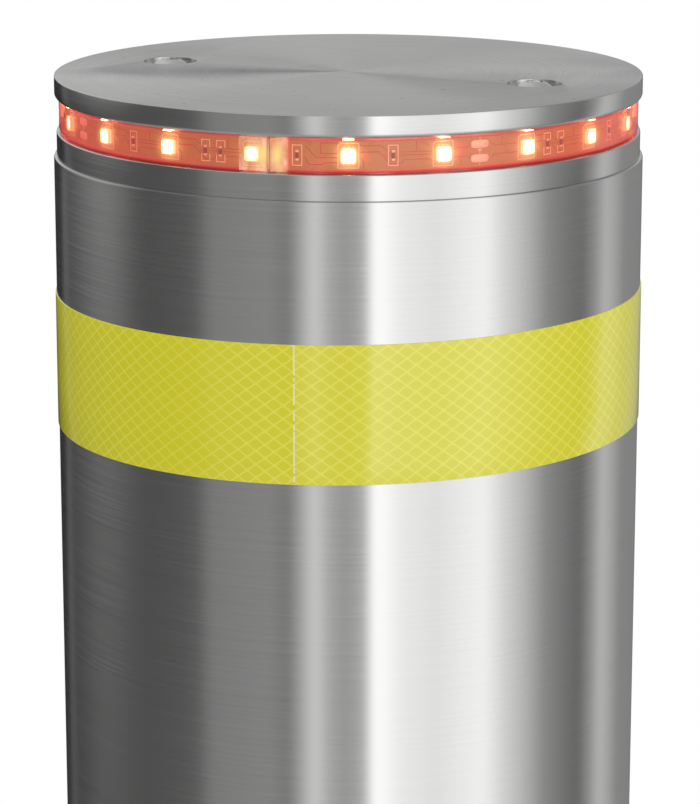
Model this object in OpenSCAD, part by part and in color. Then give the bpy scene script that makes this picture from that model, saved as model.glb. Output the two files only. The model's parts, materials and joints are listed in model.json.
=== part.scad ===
// Retractable traffic bollard: a rising steel tube with a lit head, its ground casing and its screw drive.
// Millimetres. The origin is at the centre of the casing's underside, +Z is up, and the tube is drawn raised.

/* [Bollard tube] */
// Outside diameter of the rising tube
tube_od = 219; // [180:1:270]
// Wall thickness of the rising tube
tube_wall = 6; // [4:0.5:9]
// Height that the head rises above the ground
rise = 600; // [400:10:800]
// Length of tube that stays in the casing when it is raised
kept_length = 250; // [200:5:320]
// Height of the reflective band
band_height = 50; // [25:5:100]
// Distance from the tube's upper edge to the reflective band
band_drop = 50; // [20:5:120]
// Thickness of the reflective band
band_thick = 0.4; // [0.2:0.1:0.6]

/* [Head] */
// Thickness of the cap at its rim
cap_rim = 8; // [6:0.5:12]
// How far the cap is smaller than the tube, on the radius
cap_inset = 0.5; // [0:0.1:2]
// Height of the groove that holds the light strip
light_gap = 12.6; // [11:0.2:16]
// Height of the collar under the light strip
collar_height = 9.1; // [6:0.1:16]
// How far the collar is smaller than the tube, on the radius
collar_inset = 1.1; // [0.6:0.1:3]
// Depth of the light groove, measured from the tube's outside
groove_depth = 5.1; // [4.5:0.1:5.8]
// Spacing of the light-emitting diodes along the strip
led_pitch = 33.3; // [16:0.1:50]
// Thread size of the two cap screws
cap_screw_size = 10; // [8:1:12]
// Radius of the circle that the cap screws stand on
cap_screw_circle = 74; // [60:1:76]
// Thickness of the bridge plate that is welded inside the tube
bridge_thick = 16; // [10:1:25]

/* [Ground casing] */
// Space between the tube and the casing's inside
annulus = 22; // [20:0.5:30]
// Wall thickness of the casing
casing_wall = 5; // [3:0.5:8]
// Side of the square cover frame
frame_side = 400; // [390:5:500]
// Thickness of the cover frame
frame_thick = 12; // [9:0.5:16]
// Side of the square base plate
base_side = 340; // [330:5:390]
// Thickness of the base plate
base_thick = 10; // [8:1:16]
// Height of the plastic guide bush at the casing's mouth
bush_height = 60; // [40:5:80]
// Width of the three guide rails
rail_width = 20; // [14:1:26]
// Outside diameter of the drain stub
drain_od = 60; // [40:1:75]
// Outside diameter of the cable conduit stub
conduit_od = 48; // [32:1:63]

/* [Drive] */
// Diameter of the motor
motor_od = 96; // [80:1:104]
// Length of the motor
motor_length = 140; // [110:5:180]
// Length of the gearbox, its flange included
gearbox_length = 75; // [60:5:100]
// Outside diameter of the lead screw
screw_od = 32; // [28:1:36]
// Length of the drive nut, its flange included
nut_length = 50; // [40:1:70]
// Wall thickness of the push tube
push_wall = 6; // [4:0.5:8]

/* [Hidden] */
$fn = 96;

// Clearances
touch = 0.05;         // between pieces that are welded, glued or pressed together
slip = 0.15;          // between pieces that slide together by hand
run = 0.3;            // between pieces that move past each other
eps = 1;              // how far a cut runs past a face

// Radii, from the tube outwards
tube_r = tube_od / 2;
tube_ri = tube_r - tube_wall;
guide_r = tube_r + band_thick + touch + run;
casing_ri = tube_r + annulus;
casing_r = casing_ri + casing_wall;
cap_r = tube_r - cap_inset;
collar_r = tube_r - collar_inset;
groove_r = tube_r - groove_depth;

// Drive, from the bottom up
motor_gap = 15;
motor_z = base_thick + motor_gap;
gearbox_z = motor_z + motor_length;
drive_plate_z = gearbox_z + gearbox_length;
drive_plate_thick = 12;
drive_plate_top = drive_plate_z + drive_plate_thick;
lantern_height = 60;
bearing_z = drive_plate_top + lantern_height;
bearing_width = 15;
bearing_count = 2;
bearing_top = bearing_z + bearing_count * bearing_width;
cover_gap = 2;
cover_z = bearing_top + cover_gap;
cover_thick = 6;
nut_clear = 16;
nut_low_z = cover_z + cover_thick + nut_clear;
tip_bush_height = 10;
tip_gap = 2;
screw_top = nut_low_z + rise + nut_length + tip_gap + tip_bush_height;

// Ground level, and the head that stands above it
head_clear = 20;
ground_z = screw_top + head_clear + cap_rim;
cap_z = ground_z + rise;
cap_under = cap_z - cap_rim;
collar_top = cap_under - light_gap;
tube_top = collar_top - collar_height;
tube_low = ground_z - kept_length;
spigot_depth = 14.8;
spigot_low = tube_top - spigot_depth;
bridge_top = spigot_low - 0.5;
bridge_z = bridge_top - bridge_thick;

// Cap
cap_edge = 0.5;
cap_under_edge = 1.2;
hub_depth = 10;
hub_r = groove_r - 8.4;
counterbore_r = cap_screw_size;
cap_screw_head_r = 0.875 * cap_screw_size;
cap_screw_head = 0.55 * cap_screw_size;
cap_screw_sink = 0.7;
cap_screw_length = cap_rim + light_gap + collar_height + spigot_depth + bridge_thick - 4;
cap_screw_angle = 156;
socket_depth = 3.9;
head_bore_r = 55;
o_ring_r = 1.3;
o_groove = 2 * o_ring_r + 0.1;
wire_hole_r = 2.5;
wire_circle = tube_r - 19.5;

// Light strip
sleeve_height = light_gap - 0.6;
sleeve_z = collar_top + 0.3;
sleeve_back = 0.4;
sleeve_front = 0.6;
sleeve_skin = 0.7;
sleeve_ri = groove_r + 0.1;
sleeve_r = tube_r - 2;
board_thick = 0.3;
board_height = 10;
board_r = sleeve_ri + sleeve_back + touch;
led_mid = sleeve_z + sleeve_height / 2;
led_side = 5;
led_thick = 1.5;
led_count = round(2 * PI * board_r / led_pitch);
front = -90;
arc = 180 / PI / sleeve_r;      // degrees along the sleeve for each millimetre
led_step = 360 / led_count;
joint_from_led = 6.1;
joint_angle = front - led_step + joint_from_led * arc;
joint_split = 0.9;
left_cap_width = 10.3;
right_cap_width = 5.9;
cap_plug = 1.8;
board_margin = 0.4;
sleeve_start = joint_angle + (joint_split / 2 + right_cap_width) * arc + touch * arc;
sleeve_end = joint_angle - (joint_split / 2 + left_cap_width) * arc - touch * arc + 360;
board_start = sleeve_start + board_margin * arc;
board_end = joint_angle - (joint_split / 2 + cap_plug + board_margin) * arc + 360;

// Band, and its overlap seam
band_top = tube_top - band_drop;
band_seam_angle = front - 9.9;
band_seam = 0.2;

// Lower flange, shoes and rails
flange_thick = 12;
flange_r = casing_ri - 4;
rail_depth = 12;
rail_ri = casing_ri - rail_depth;
rail_count = 3;
rail_angle = 90;
shoe_height = 50;
shoe_side = 10;
shoe_width = rail_width + 2 * run + 2 * shoe_side;
shoe_ri = tube_r + 0.5;
shoe_r = casing_ri - 1.5;
shoe_top = tube_low + flange_thick + shoe_height;
shoe_screw_r = 2.5;
shoe_screw_head_r = 4;
shoe_screw_head = 4;
rail_top = shoe_top;

// Stops
stop_thick = 10;
buffer_height = 20;
buffer_r = 8;
flange_low = tube_low - rise;
lower_stop_top = flange_low - buffer_height;
lower_stop_ri = tube_ri - 3.5;
upper_buffer_z = shoe_top + run;
upper_buffer_height = 10;
upper_stop_z = upper_buffer_z + upper_buffer_height;
stop_ri = guide_r + 2;
buffer_circle = (tube_r + flange_r) / 2;
buffer_angle = 30;

// Casing mouth
frame_z = ground_z - frame_thick;
flange_plate = 12;
flange_z = frame_z - flange_plate;
flange_side = frame_side - 4;
lip_thick = 4;
casing_top = frame_z - lip_thick;
mouth_r = tube_r + 2.5;
housing_r = casing_ri - run;
housing_ri = housing_r - 4.2;
seal_height = 20;
bush_top = frame_z - seal_height;
bush_z = bush_top - bush_height;
housing_foot = 8;
housing_z = bush_z - housing_foot;
frame_screw_pitch = frame_side / 2 - 18;
frame_screw_r = 5;
frame_screw_head_r = 10;
frame_screw_length = frame_thick + flange_plate - 2;

// Anchoring, stubs and base
anchor_r = 6;
anchor_drop = 170;
anchor_foot = 45;
anchor_bend = 18;
anchor_pitch = flange_side / 2 - 28;
gusset_thick = 8;
gusset_reach = frame_side / 2 - casing_r - 10;
gusset_drop = 100;
base_hole_pitch = base_side - 50;
base_hole_r = 7;
stub_reach = frame_side / 2 - 5;
stub_wall = 4;
stub_step = 2;
stub_inside = 6;
drain_z = base_thick + drain_od / 2 + 8;
conduit_z = base_thick + 100;

// Drive train
drive_plate_r = min(88, tube_ri - 12);
pillar_circle = drive_plate_r - 12;
pillar_r = 9;
stud_r = 6;
nut_thick = 10;
nut_hex_r = 10.4;
gearbox_r = 42;
gearbox_flange_r = 56;
gearbox_flange = 8;
gearbox_screw_circle = 49;
gearbox_screw_r = 3;
pilot_r = 30;
shaft_r = 10;
housing_flange_r = 62;
housing_flange = 10;
housing_screw_circle = 52;
housing_screw_r = 4;
lantern_r = 40;
lantern_ri = 33;
bearing_r = 26;
bearing_ri = 12.5;
race = 4.4;
ball_r = 3.9;
ball_circle = (bearing_r + bearing_ri) / 2;
ball_count = 12;
shoulder_r = 21;
shoulder_thick = 8;
cover_ri = screw_od / 2 + 1.5;
cover_screw_circle = 33;
cover_screw_r = 2.5;
locknut_r = 18;
locknut_thick = 9;
coupling_r = 25;
hub_length = 16;
spider_length = 10;
coupling_z = drive_plate_top + 4;
spider_z = coupling_z + hub_length;
upper_hub_z = spider_z + spider_length;
jaw_span = 34;
jaw_gap = 1;
leg_span = 60 - jaw_span - jaw_gap;
screw_r = screw_od / 2;
nut_r = screw_r + 10;
nut_flange = 12;
nut_flange_r = nut_r + 14;
nut_z = nut_low_z + rise;
nut_screw_circle = nut_flange_r - 5;
nut_screw_r = 2.5;
push_ri = nut_r + 1;
push_r = push_ri + push_wall;
push_flange = 10;
push_z = nut_z + nut_flange;
junction_angle = 225;
junction_size = [44, 70, 80];
junction_circle = 100;
junction_lid = 6;
sensor_r = 6;
sensor_gap = 5;
sensor_length = 78;
sensor_angle = 60;
sensor_nut_r = 9.5;
sensor_nut_thick = 4;

// A plain ring from the radius r_in to r_out, standing on the height z
module ring(r_in, r_out, z, h) {
    rotate_extrude() translate([r_in, z]) square([r_out - r_in, h]);
}

// A turned piece: points are [radius, height]
module turned(points) {
    rotate_extrude() polygon(points);
}

// Part of a ring, from the angle start over the angle span
module ring_sector(r_in, r_out, z, h, start, span) {
    rotate([0, 0, start]) rotate_extrude(angle = span) translate([r_in, z]) square([r_out - r_in, h]);
}

// Copies of a piece on a circle
module around(count, radius, start = 0) {
    for (i = [0 : count - 1])
        rotate([0, 0, start + i * 360 / count]) translate([radius, 0, 0]) children();
}

// Copies of a piece at the four corners of a square
module corners(pitch) {
    for (x = [-1, 1], y = [-1, 1])
        translate([x * pitch, y * pitch, 0]) children();
}

// A dowel-like cut or shaft on Z
module rod(r, z, h) {
    translate([0, 0, z]) cylinder(r = r, h = h);
}

// Hexagon on Z, given the radius to its corners
module hexagon(r, z, h) {
    translate([0, 0, z]) cylinder(r = r, h = h, $fn = 6);
}

// Socket-head cap screw, head upwards, seated at z
module socket_screw(r, head_r, head, length, z) {
    difference() {
        union() {
            rod(head_r, z, head);
            rod(r, z - length, length);
        }
        hexagon(r * 0.9, z + head * 0.4, head);
    }
}

// ---------------------------------------------------------------- head

module cap_plate() {
    hub_low = cap_under - hub_depth;
    groove_mid = cap_under - hub_depth / 2 - 1;
    color("silver") difference() {
        turned([
            [0, hub_low], [hub_r, hub_low], [hub_r, cap_under], [cap_r - cap_under_edge, cap_under],
            [cap_r, cap_under + cap_under_edge], [cap_r, cap_z - cap_edge], [cap_r - cap_edge, cap_z],
            [0, cap_z]
        ]);
        around(2, cap_screw_circle, cap_screw_angle) {
            rod(counterbore_r, cap_z - cap_screw_head - cap_screw_sink, cap_screw_head + eps);
            rod(cap_screw_size / 2 + 0.5, hub_low - eps, cap_rim + hub_depth + 2 * eps);
        }
        ring(hub_r - o_groove, hub_r + eps, groove_mid - o_groove / 2, o_groove);
        rotate([0, 0, joint_angle])
            translate([wire_circle, 0, 0]) rod(wire_hole_r + 1.5, hub_low - eps, hub_depth - 1);
    }
}

module cap_screw() {
    seat = cap_z - cap_screw_head - cap_screw_sink;
    ball = (cap_screw_head_r ^ 2 + cap_screw_head ^ 2) / (2 * cap_screw_head);
    difference() {
        union() {
            intersection() {
                translate([0, 0, seat + cap_screw_head - ball]) sphere(r = ball);
                rod(cap_screw_head_r, seat, cap_screw_head + eps);
            }
            rod(cap_screw_size / 2, seat - cap_screw_length, cap_screw_length + touch);
        }
        hexagon(cap_screw_size * 0.346, seat + cap_screw_head - socket_depth, socket_depth + eps);
    }
}

module cap_screws() {
    color("gainsboro") around(2, cap_screw_circle, cap_screw_angle) cap_screw();
}

module o_ring(major, z) {
    color("black") rotate_extrude() translate([major, z]) circle(r = o_ring_r, $fn = 32);
}

module cap_o_ring() {
    o_ring(hub_r - o_ring_r + 0.1, cap_under - hub_depth / 2 - 1);
}

module light_ring() {
    spigot_r = tube_ri - slip;
    recess = cap_under - hub_depth;
    groove_mid = tube_top - spigot_depth / 2;
    edge = 0.4;
    color("silver") difference() {
        turned([
            [head_bore_r, spigot_low], [spigot_r, spigot_low], [spigot_r, tube_top + touch],
            [collar_r, tube_top + touch], [collar_r, collar_top - edge], [collar_r - edge, collar_top],
            [groove_r, collar_top], [groove_r, cap_under - touch], [hub_r + slip, cap_under - touch],
            [hub_r + slip, recess - touch], [head_bore_r, recess - touch]
        ]);
        around(2, cap_screw_circle, cap_screw_angle)
            rod(cap_screw_size / 2 + 0.5, spigot_low - eps, 2 * spigot_depth + collar_height + light_gap);
        ring(spigot_r - o_groove, spigot_r + eps, groove_mid - o_groove / 2, o_groove);
        rotate([0, 0, joint_angle]) {
            translate([wire_circle, 0, 0]) rod(wire_hole_r, spigot_low - eps, cap_under - spigot_low);
            translate([wire_circle, 0, led_mid])
                rotate([0, 90, 0]) cylinder(r = wire_hole_r, h = groove_r - wire_circle + eps);
        }
    }
}

module head_o_ring() {
    o_ring(tube_ri - slip - o_ring_r + 0.1, tube_top - spigot_depth / 2);
}

module led_board() {
    color("chocolate") ring_sector(board_r, board_r + board_thick, led_mid - board_height / 2, board_height,
                                   board_start, board_end - board_start);
}

module led_packages() {
    color("lemonchiffon") around(led_count, board_r + board_thick + 0.02, front)
        translate([0, -led_side / 2, led_mid - led_side / 2]) cube([led_thick, led_side, led_side]);
}

module sleeve_cavity(start, span) {
    ring_sector(sleeve_ri + sleeve_back, sleeve_r - sleeve_front, sleeve_z + sleeve_skin,
                sleeve_height - 2 * sleeve_skin, start, span);
}

module led_sleeve() {
    span = sleeve_end - sleeve_start;
    color("tomato", 0.6) difference() {
        ring_sector(sleeve_ri, sleeve_r, sleeve_z, sleeve_height, sleeve_start, span);
        sleeve_cavity(sleeve_start - arc, span + 2 * arc);
    }
}

module sleeve_end_caps() {
    left_start = joint_angle - (joint_split / 2 + left_cap_width) * arc;
    left_span = left_cap_width * arc;
    color("seashell", 0.7) {
        difference() {
            ring_sector(sleeve_ri, sleeve_r, sleeve_z, sleeve_height, left_start, left_span);
            sleeve_cavity(left_start - arc, left_span + arc - cap_plug * arc);
        }
        ring_sector(sleeve_ri, sleeve_r, sleeve_z, sleeve_height, joint_angle + joint_split / 2 * arc,
                    right_cap_width * arc);
    }
}

module head_bridge() {
    color("slategray") difference() {
        ring(push_r + touch, tube_ri - touch, bridge_z, bridge_thick);
        around(2, cap_screw_circle, cap_screw_angle)
            rod(cap_screw_size / 2 + touch, bridge_z - eps, bridge_thick + 2 * eps);
        rotate([0, 0, joint_angle])
            translate([wire_circle, 0, 0]) rod(4, bridge_z - eps, bridge_thick + 2 * eps);
    }
}

module cable_gland(z) {
    difference() {
        union() {
            rod(3.9, z, 12);
            hexagon(8.5, z - 5, 5);
            translate([0, 0, z - 13]) cylinder(r1 = 5.5, r2 = 7.5, h = 8);
        }
        rod(2, z - 14, 30);
    }
}

module led_cable_gland() {
    color("dimgray") rotate([0, 0, joint_angle]) translate([wire_circle, 0, 0]) cable_gland(bridge_z - touch);
}

// ---------------------------------------------------------------- tube and its foot

module bollard_tube() {
    edge = 0.8;
    color("silver") turned([
        [tube_ri, tube_low], [tube_r, tube_low], [tube_r, tube_top - edge], [tube_r - edge, tube_top],
        [tube_ri, tube_top]
    ]);
}

module reflective_band() {
    half_seam = band_seam / tube_r * 180 / PI / 2;
    color("yellow") ring_sector(tube_r + touch, tube_r + touch + band_thick, band_top - band_height,
                                band_height, band_seam_angle + half_seam, 360 - 2 * half_seam);
}

module lower_flange() {
    color("slategray") difference() {
        ring(tube_r + touch, flange_r, tube_low, flange_thick);
        around(rail_count, rail_ri - 2, rail_angle)
            translate([0, -rail_width / 2 - 2, tube_low - eps])
                cube([rail_depth + 2, rail_width + 4, flange_thick + 2 * eps]);
        shoe_screw_places() rod(shoe_screw_r + touch, tube_low - eps, flange_thick + 2 * eps);
    }
}

module shoe_screw_places() {
    offset_y = rail_width / 2 + run + shoe_side / 2;
    around(rail_count, (shoe_ri + shoe_r) / 2 - 1, rail_angle)
        for (side = [-1, 1]) translate([0, side * offset_y, 0]) children();
}

module guide_shoes() {
    z = tube_low + flange_thick;
    head_pocket = shoe_height - 10;
    color("ivory") difference() {
        intersection() {
            around(rail_count, shoe_ri, rail_angle)
                translate([0, -shoe_width / 2, z]) cube([shoe_r - shoe_ri, shoe_width, shoe_height]);
            rod(shoe_r, z, shoe_height);
        }
        around(rail_count, rail_ri - run, rail_angle)
            translate([0, -rail_width / 2 - run, z - eps])
                cube([rail_depth + 2, rail_width + 2 * run, shoe_height + 2 * eps]);
        shoe_screw_places() {
            rod(shoe_screw_r + 0.2, z - eps, shoe_height);
            rod(shoe_screw_head_r + 0.2, z + shoe_height - head_pocket, head_pocket + eps);
        }
    }
}

module guide_shoe_screws() {
    seat = tube_low + flange_thick + 10;
    color("gainsboro") shoe_screw_places()
        socket_screw(shoe_screw_r, shoe_screw_head_r, shoe_screw_head, flange_thick + 10 - 1, seat);
}

// ---------------------------------------------------------------- push tube, nut and screw

module push_tube() {
    color("slategray") difference() {
        turned([
            [push_ri, push_z + touch], [nut_flange_r, push_z + touch], [nut_flange_r, push_z + push_flange],
            [push_r, push_z + push_flange], [push_r, bridge_top], [push_ri, bridge_top]
        ]);
        around(6, nut_screw_circle) rod(nut_screw_r + touch, push_z - eps, push_flange + 2 * eps);
    }
}

module drive_nut() {
    color("peru") difference() {
        turned([
            [screw_r + run, nut_z], [nut_flange_r, nut_z], [nut_flange_r, nut_z + nut_flange],
            [nut_r, nut_z + nut_flange], [nut_r, nut_z + nut_length], [screw_r + run, nut_z + nut_length]
        ]);
        around(6, nut_screw_circle) rod(nut_screw_r + 0.2, nut_z - eps, nut_flange + 2 * eps);
    }
}

module nut_screws() {
    color("gainsboro") around(6, nut_screw_circle)
        translate([0, 0, nut_z]) mirror([0, 0, 1])
            socket_screw(nut_screw_r, 4.5, 5, nut_flange + push_flange - 2, touch);
}

module lead_screw() {
    color("lightsteelblue") turned([
        [0, upper_hub_z + 1], [shaft_r, upper_hub_z + 1], [shaft_r, bearing_z - locknut_thick - 3],
        [bearing_ri - touch, bearing_z - locknut_thick - 3], [bearing_ri - touch, bearing_top],
        [screw_r, bearing_top], [screw_r, screw_top - tip_bush_height],
        [shaft_r, screw_top - tip_bush_height], [shaft_r, screw_top], [0, screw_top]
    ]);
}

module screw_tip_bush() {
    color("ivory") ring(shaft_r + touch, push_ri - run, screw_top - tip_bush_height + touch,
                        tip_bush_height - 2 * touch);
}

module bearing_race(r_in, r_out) {
    for (i = [0 : bearing_count - 1]) {
        z = bearing_z + i * bearing_width;
        rotate_extrude() difference() {
            translate([r_in, z + touch]) square([r_out - r_in, bearing_width - 2 * touch]);
            translate([ball_circle, z + bearing_width / 2]) circle(r = ball_r + 0.1, $fn = 48);
        }
    }
}

module bearing_inner_rings() {
    color("silver") bearing_race(bearing_ri, bearing_ri + race);
}

module bearing_outer_rings() {
    color("silver") bearing_race(bearing_r - race, bearing_r);
}

module bearing_balls() {
    color("gainsboro") for (i = [0 : bearing_count - 1])
        around(ball_count, ball_circle, i * 180 / ball_count)
            translate([0, 0, bearing_z + (i + 0.5) * bearing_width]) sphere(r = ball_r);
}

module screw_locknut() {
    color("dimgray") difference() {
        ring(bearing_ri, locknut_r, bearing_z - locknut_thick - touch, locknut_thick);
        around(4, locknut_r) translate([-2, -2, bearing_z - locknut_thick - eps])
            cube([4, 4, locknut_thick + 2 * eps]);
    }
}

module coupling_hub(z, jaw_start) {
    difference() {
        union() {
            rod(coupling_r, z, hub_length);
            for (i = [0 : 2])
                ring_sector(coupling_r * 0.5, coupling_r - 1, spider_z - eps, spider_length + 2 * eps,
                            jaw_start + i * 120 - jaw_span / 2, jaw_span);
        }
        rod(shaft_r + touch, z - eps, hub_length + 2 * eps);
    }
}

module coupling_upper_hub() {
    color("darkgray") intersection() {
        coupling_hub(upper_hub_z, 30);
        rod(coupling_r + eps, spider_z + run, hub_length + spider_length);
    }
}

module coupling_lower_hub() {
    color("darkgray") intersection() {
        coupling_hub(coupling_z, 90);
        rod(coupling_r + eps, coupling_z, hub_length + spider_length - run);
    }
}

module coupling_spider() {
    color("firebrick") union() {
        ring(coupling_r * 0.25, coupling_r * 0.48, spider_z + touch, spider_length - 2 * touch);
        for (i = [0 : 5])
            ring_sector(coupling_r * 0.4, coupling_r - 1, spider_z + touch, spider_length - 2 * touch,
                        i * 60 - leg_span / 2, leg_span);
    }
}

module gearbox_shaft() {
    color("lightsteelblue") rod(shaft_r, drive_plate_z - 10, drive_plate_thick + 4 + hub_length + 10 - 1);
}

// ---------------------------------------------------------------- drive stand

module motor() {
    motor_r = motor_od / 2;
    cap_height = 16;
    color("dimgray") difference() {
        turned([
            [0, motor_z], [motor_r - 6, motor_z], [motor_r, motor_z + 6], [motor_r, motor_z + cap_height],
            [motor_r - 2, motor_z + cap_height], [motor_r - 2, gearbox_z - cap_height],
            [motor_r, gearbox_z - cap_height], [motor_r, gearbox_z - touch], [0, gearbox_z - touch]
        ]);
        around(24, motor_r - 2 - 1.5) translate([0, -1.2, motor_z + cap_height + 4])
            cube([4, 2.4, motor_length - 2 * cap_height - 8]);
    }
}

module gearbox() {
    low = gearbox_z;
    high = drive_plate_z - gearbox_flange;
    color("lightslategray") difference() {
        turned([
            [0, low], [motor_od / 2, low], [motor_od / 2, low + 8], [gearbox_r, low + 12],
            [gearbox_r, high], [gearbox_flange_r, high], [gearbox_flange_r, drive_plate_z - touch],
            [pilot_r, drive_plate_z - touch], [pilot_r, drive_plate_z + 5], [0, drive_plate_z + 5]
        ]);
        rod(shaft_r + 0.2, drive_plate_z - 12, 20);
        around(4, gearbox_screw_circle) rod(gearbox_screw_r + 0.2, high - eps, gearbox_flange + 2 * eps);
    }
}

module gearbox_screws() {
    color("gainsboro") around(4, gearbox_screw_circle)
        translate([0, 0, drive_plate_z - gearbox_flange]) mirror([0, 0, 1])
            socket_screw(gearbox_screw_r, 5, 6, gearbox_flange + 9, touch);
}

module drive_plate() {
    color("slategray") difference() {
        ring(pilot_r + touch, drive_plate_r, drive_plate_z, drive_plate_thick);
        around(4, gearbox_screw_circle) rod(gearbox_screw_r + touch, drive_plate_z - eps, 11);
        around(4, housing_screw_circle, 45)
            rod(housing_screw_r + touch, drive_plate_z - eps, drive_plate_thick + 2 * eps);
        around(4, pillar_circle) rod(stud_r + 0.2, drive_plate_z - eps, drive_plate_thick + 2 * eps);
    }
}

module drive_pillars() {
    color("lightslategray") around(4, pillar_circle) {
        rod(stud_r, 1, base_thick);
        rod(pillar_r, base_thick + touch, drive_plate_z - base_thick - 2 * touch);
        rod(stud_r, drive_plate_z - 2, drive_plate_thick + nut_thick + 4);
    }
}

module pillar_nuts() {
    color("gainsboro") around(4, pillar_circle) difference() {
        hexagon(nut_hex_r, drive_plate_top + touch, nut_thick);
        rod(stud_r + touch, drive_plate_top - eps, nut_thick + 2 * eps);
    }
}

module bearing_housing() {
    low = drive_plate_top + touch;
    color("steelblue") difference() {
        turned([
            [lantern_ri, low], [housing_flange_r, low], [housing_flange_r, low + housing_flange],
            [lantern_r, low + housing_flange], [lantern_r, cover_z], [bearing_r + touch, cover_z],
            [bearing_r + touch, bearing_z], [shoulder_r, bearing_z], [shoulder_r, bearing_z - shoulder_thick],
            [lantern_ri, bearing_z - shoulder_thick]
        ]);
        around(4, housing_screw_circle, 45) rod(housing_screw_r + 0.3, low - eps, housing_flange + 2 * eps);
        around(4, cover_screw_circle, 45) rod(cover_screw_r + touch, cover_z - 14, 15);
        translate([-lantern_r - eps, -15, low + housing_flange + 2])
            cube([2 * (lantern_r + eps), 30, shoulder_thick + 26]);
    }
}

module housing_screws() {
    color("gainsboro") around(4, housing_screw_circle, 45)
        socket_screw(housing_screw_r, 6.5, 8, housing_flange + drive_plate_thick - 2,
                     drive_plate_top + housing_flange + 2 * touch);
}

module bearing_cover() {
    color("lightslategray") difference() {
        union() {
            ring(cover_ri, lantern_r, cover_z + touch, cover_thick);
            ring(bearing_r - race, bearing_r - touch, bearing_top, cover_gap + 2 * touch);
        }
        around(4, cover_screw_circle, 45) rod(cover_screw_r + 0.2, cover_z - eps, cover_thick + 2 * eps);
    }
}

module bearing_cover_screws() {
    color("gainsboro") around(4, cover_screw_circle, 45)
        socket_screw(cover_screw_r, 4.5, 5, cover_thick + 12, cover_z + cover_thick + 2 * touch);
}

// ---------------------------------------------------------------- ground casing

module base_plate() {
    color("lightslategray") difference() {
        translate([-base_side / 2, -base_side / 2, 0]) cube([base_side, base_side, base_thick]);
        corners(base_hole_pitch / 2) rod(base_hole_r, -eps, base_thick + 2 * eps);
        around(4, pillar_circle) rod(stud_r + touch, -eps, base_thick + 2 * eps);
    }
}

module casing_tube() {
    low = base_thick + touch;
    color("lightgray") difference() {
        ring(casing_ri, casing_r, low, casing_top - low);
        stub_cylinder(drain_od / 2 - stub_step + touch, drain_z, 1, 0, casing_r + eps);
        stub_cylinder(conduit_od / 2 - stub_step + touch, conduit_z, -1, 0, casing_r + eps);
    }
}

module casing_flange() {
    half = flange_side / 2;
    color("lightgray") difference() {
        translate([-half, -half, flange_z]) cube([flange_side, flange_side, flange_plate - touch]);
        rod(casing_r + touch, flange_z - eps, flange_plate + 2 * eps);
        frame_screw_places() rod(frame_screw_r + touch, flange_z - eps, flange_plate + 2 * eps);
    }
}

module frame_screw_places() {
    corners(frame_screw_pitch) children();
    around(4, frame_screw_pitch) children();
}

module flange_gussets() {
    color("lightgray") around(4, casing_r + touch) translate([0, gusset_thick / 2, 0])
        rotate([90, 0, 0]) linear_extrude(gusset_thick)
            polygon([
                [0, flange_z - touch], [gusset_reach, flange_z - touch], [gusset_reach, flange_z - 12],
                [12, flange_z - gusset_drop], [0, flange_z - gusset_drop]
            ]);
}

module anchor_bar() {
    bend_z = flange_z - anchor_drop;
    rod(anchor_r, bend_z, anchor_drop - touch);
    translate([0, -anchor_bend, bend_z]) rotate([90, 0, 90])
        rotate_extrude(angle = -90) translate([anchor_bend, 0]) circle(r = anchor_r, $fn = 32);
    translate([0, -anchor_bend, bend_z - anchor_bend]) rotate([90, 0, 0])
        cylinder(r = anchor_r, h = anchor_foot);
}

module anchor_bars() {
    color("peru") for (side = [-1, 1])
        for (turn = [0, 180])
            rotate([0, 0, turn]) translate([side * anchor_pitch, anchor_pitch, 0]) anchor_bar();
}

module cover_frame() {
    half = frame_side / 2;
    cone = frame_screw_head_r - frame_screw_r;
    color("silver") difference() {
        translate([-half, -half, frame_z]) cube([frame_side, frame_side, frame_thick]);
        turned([
            [0, frame_z - eps], [mouth_r, frame_z - eps], [mouth_r, ground_z - 1], [mouth_r + 1, ground_z],
            [mouth_r + 1, ground_z + eps], [0, ground_z + eps]
        ]);
        frame_screw_places() {
            rod(frame_screw_r + 0.5, frame_z - eps, frame_thick + 2 * eps);
            translate([0, 0, ground_z - cone])
                cylinder(r1 = frame_screw_r + 0.5, r2 = frame_screw_head_r + 0.5, h = cone + touch);
        }
    }
}

module cover_screw() {
    cone = frame_screw_head_r - frame_screw_r;
    difference() {
        union() {
            translate([0, 0, ground_z - cone])
                cylinder(r1 = frame_screw_r, r2 = frame_screw_head_r, h = cone - 0.3);
            rod(frame_screw_r, ground_z - frame_screw_length, frame_screw_length - cone + touch);
        }
        hexagon(3.46, ground_z - 4, 5);
    }
}

module cover_screws() {
    color("gainsboro") frame_screw_places() cover_screw();
}

module wiper_seal() {
    wall = housing_ri - slip;
    top = frame_z - slip;
    throat = guide_r + 2.3;
    color("black") turned([
        [throat + 1, bush_top + touch], [wall, bush_top + touch], [wall, top], [mouth_r - 0.3, top],
        [mouth_r - 0.6, frame_z + 6], [guide_r, frame_z + 8], [guide_r, frame_z + 5.5],
        [mouth_r - 1.1, frame_z - 1], [throat, frame_z - 4], [throat, frame_z - 8],
        [guide_r, frame_z - 12], [guide_r, frame_z - 13.5], [throat + 1, frame_z - 15]
    ]);
}

module guide_bush() {
    split = 3;
    color("ivory") difference() {
        ring(guide_r, housing_ri - slip, bush_z + touch, bush_height - touch);
        translate([0, -split / 2, bush_z - eps]) cube([housing_ri, split, bush_height + 2 * eps]);
    }
}

module guide_housing() {
    color("lightslategray") turned([
        [stop_ri, housing_z], [housing_r, housing_z], [housing_r, casing_top + touch],
        [casing_r - run, casing_top + touch], [casing_r - run, frame_z - touch],
        [housing_ri, frame_z - touch], [housing_ri, bush_z], [stop_ri, bush_z]
    ]);
}

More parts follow.
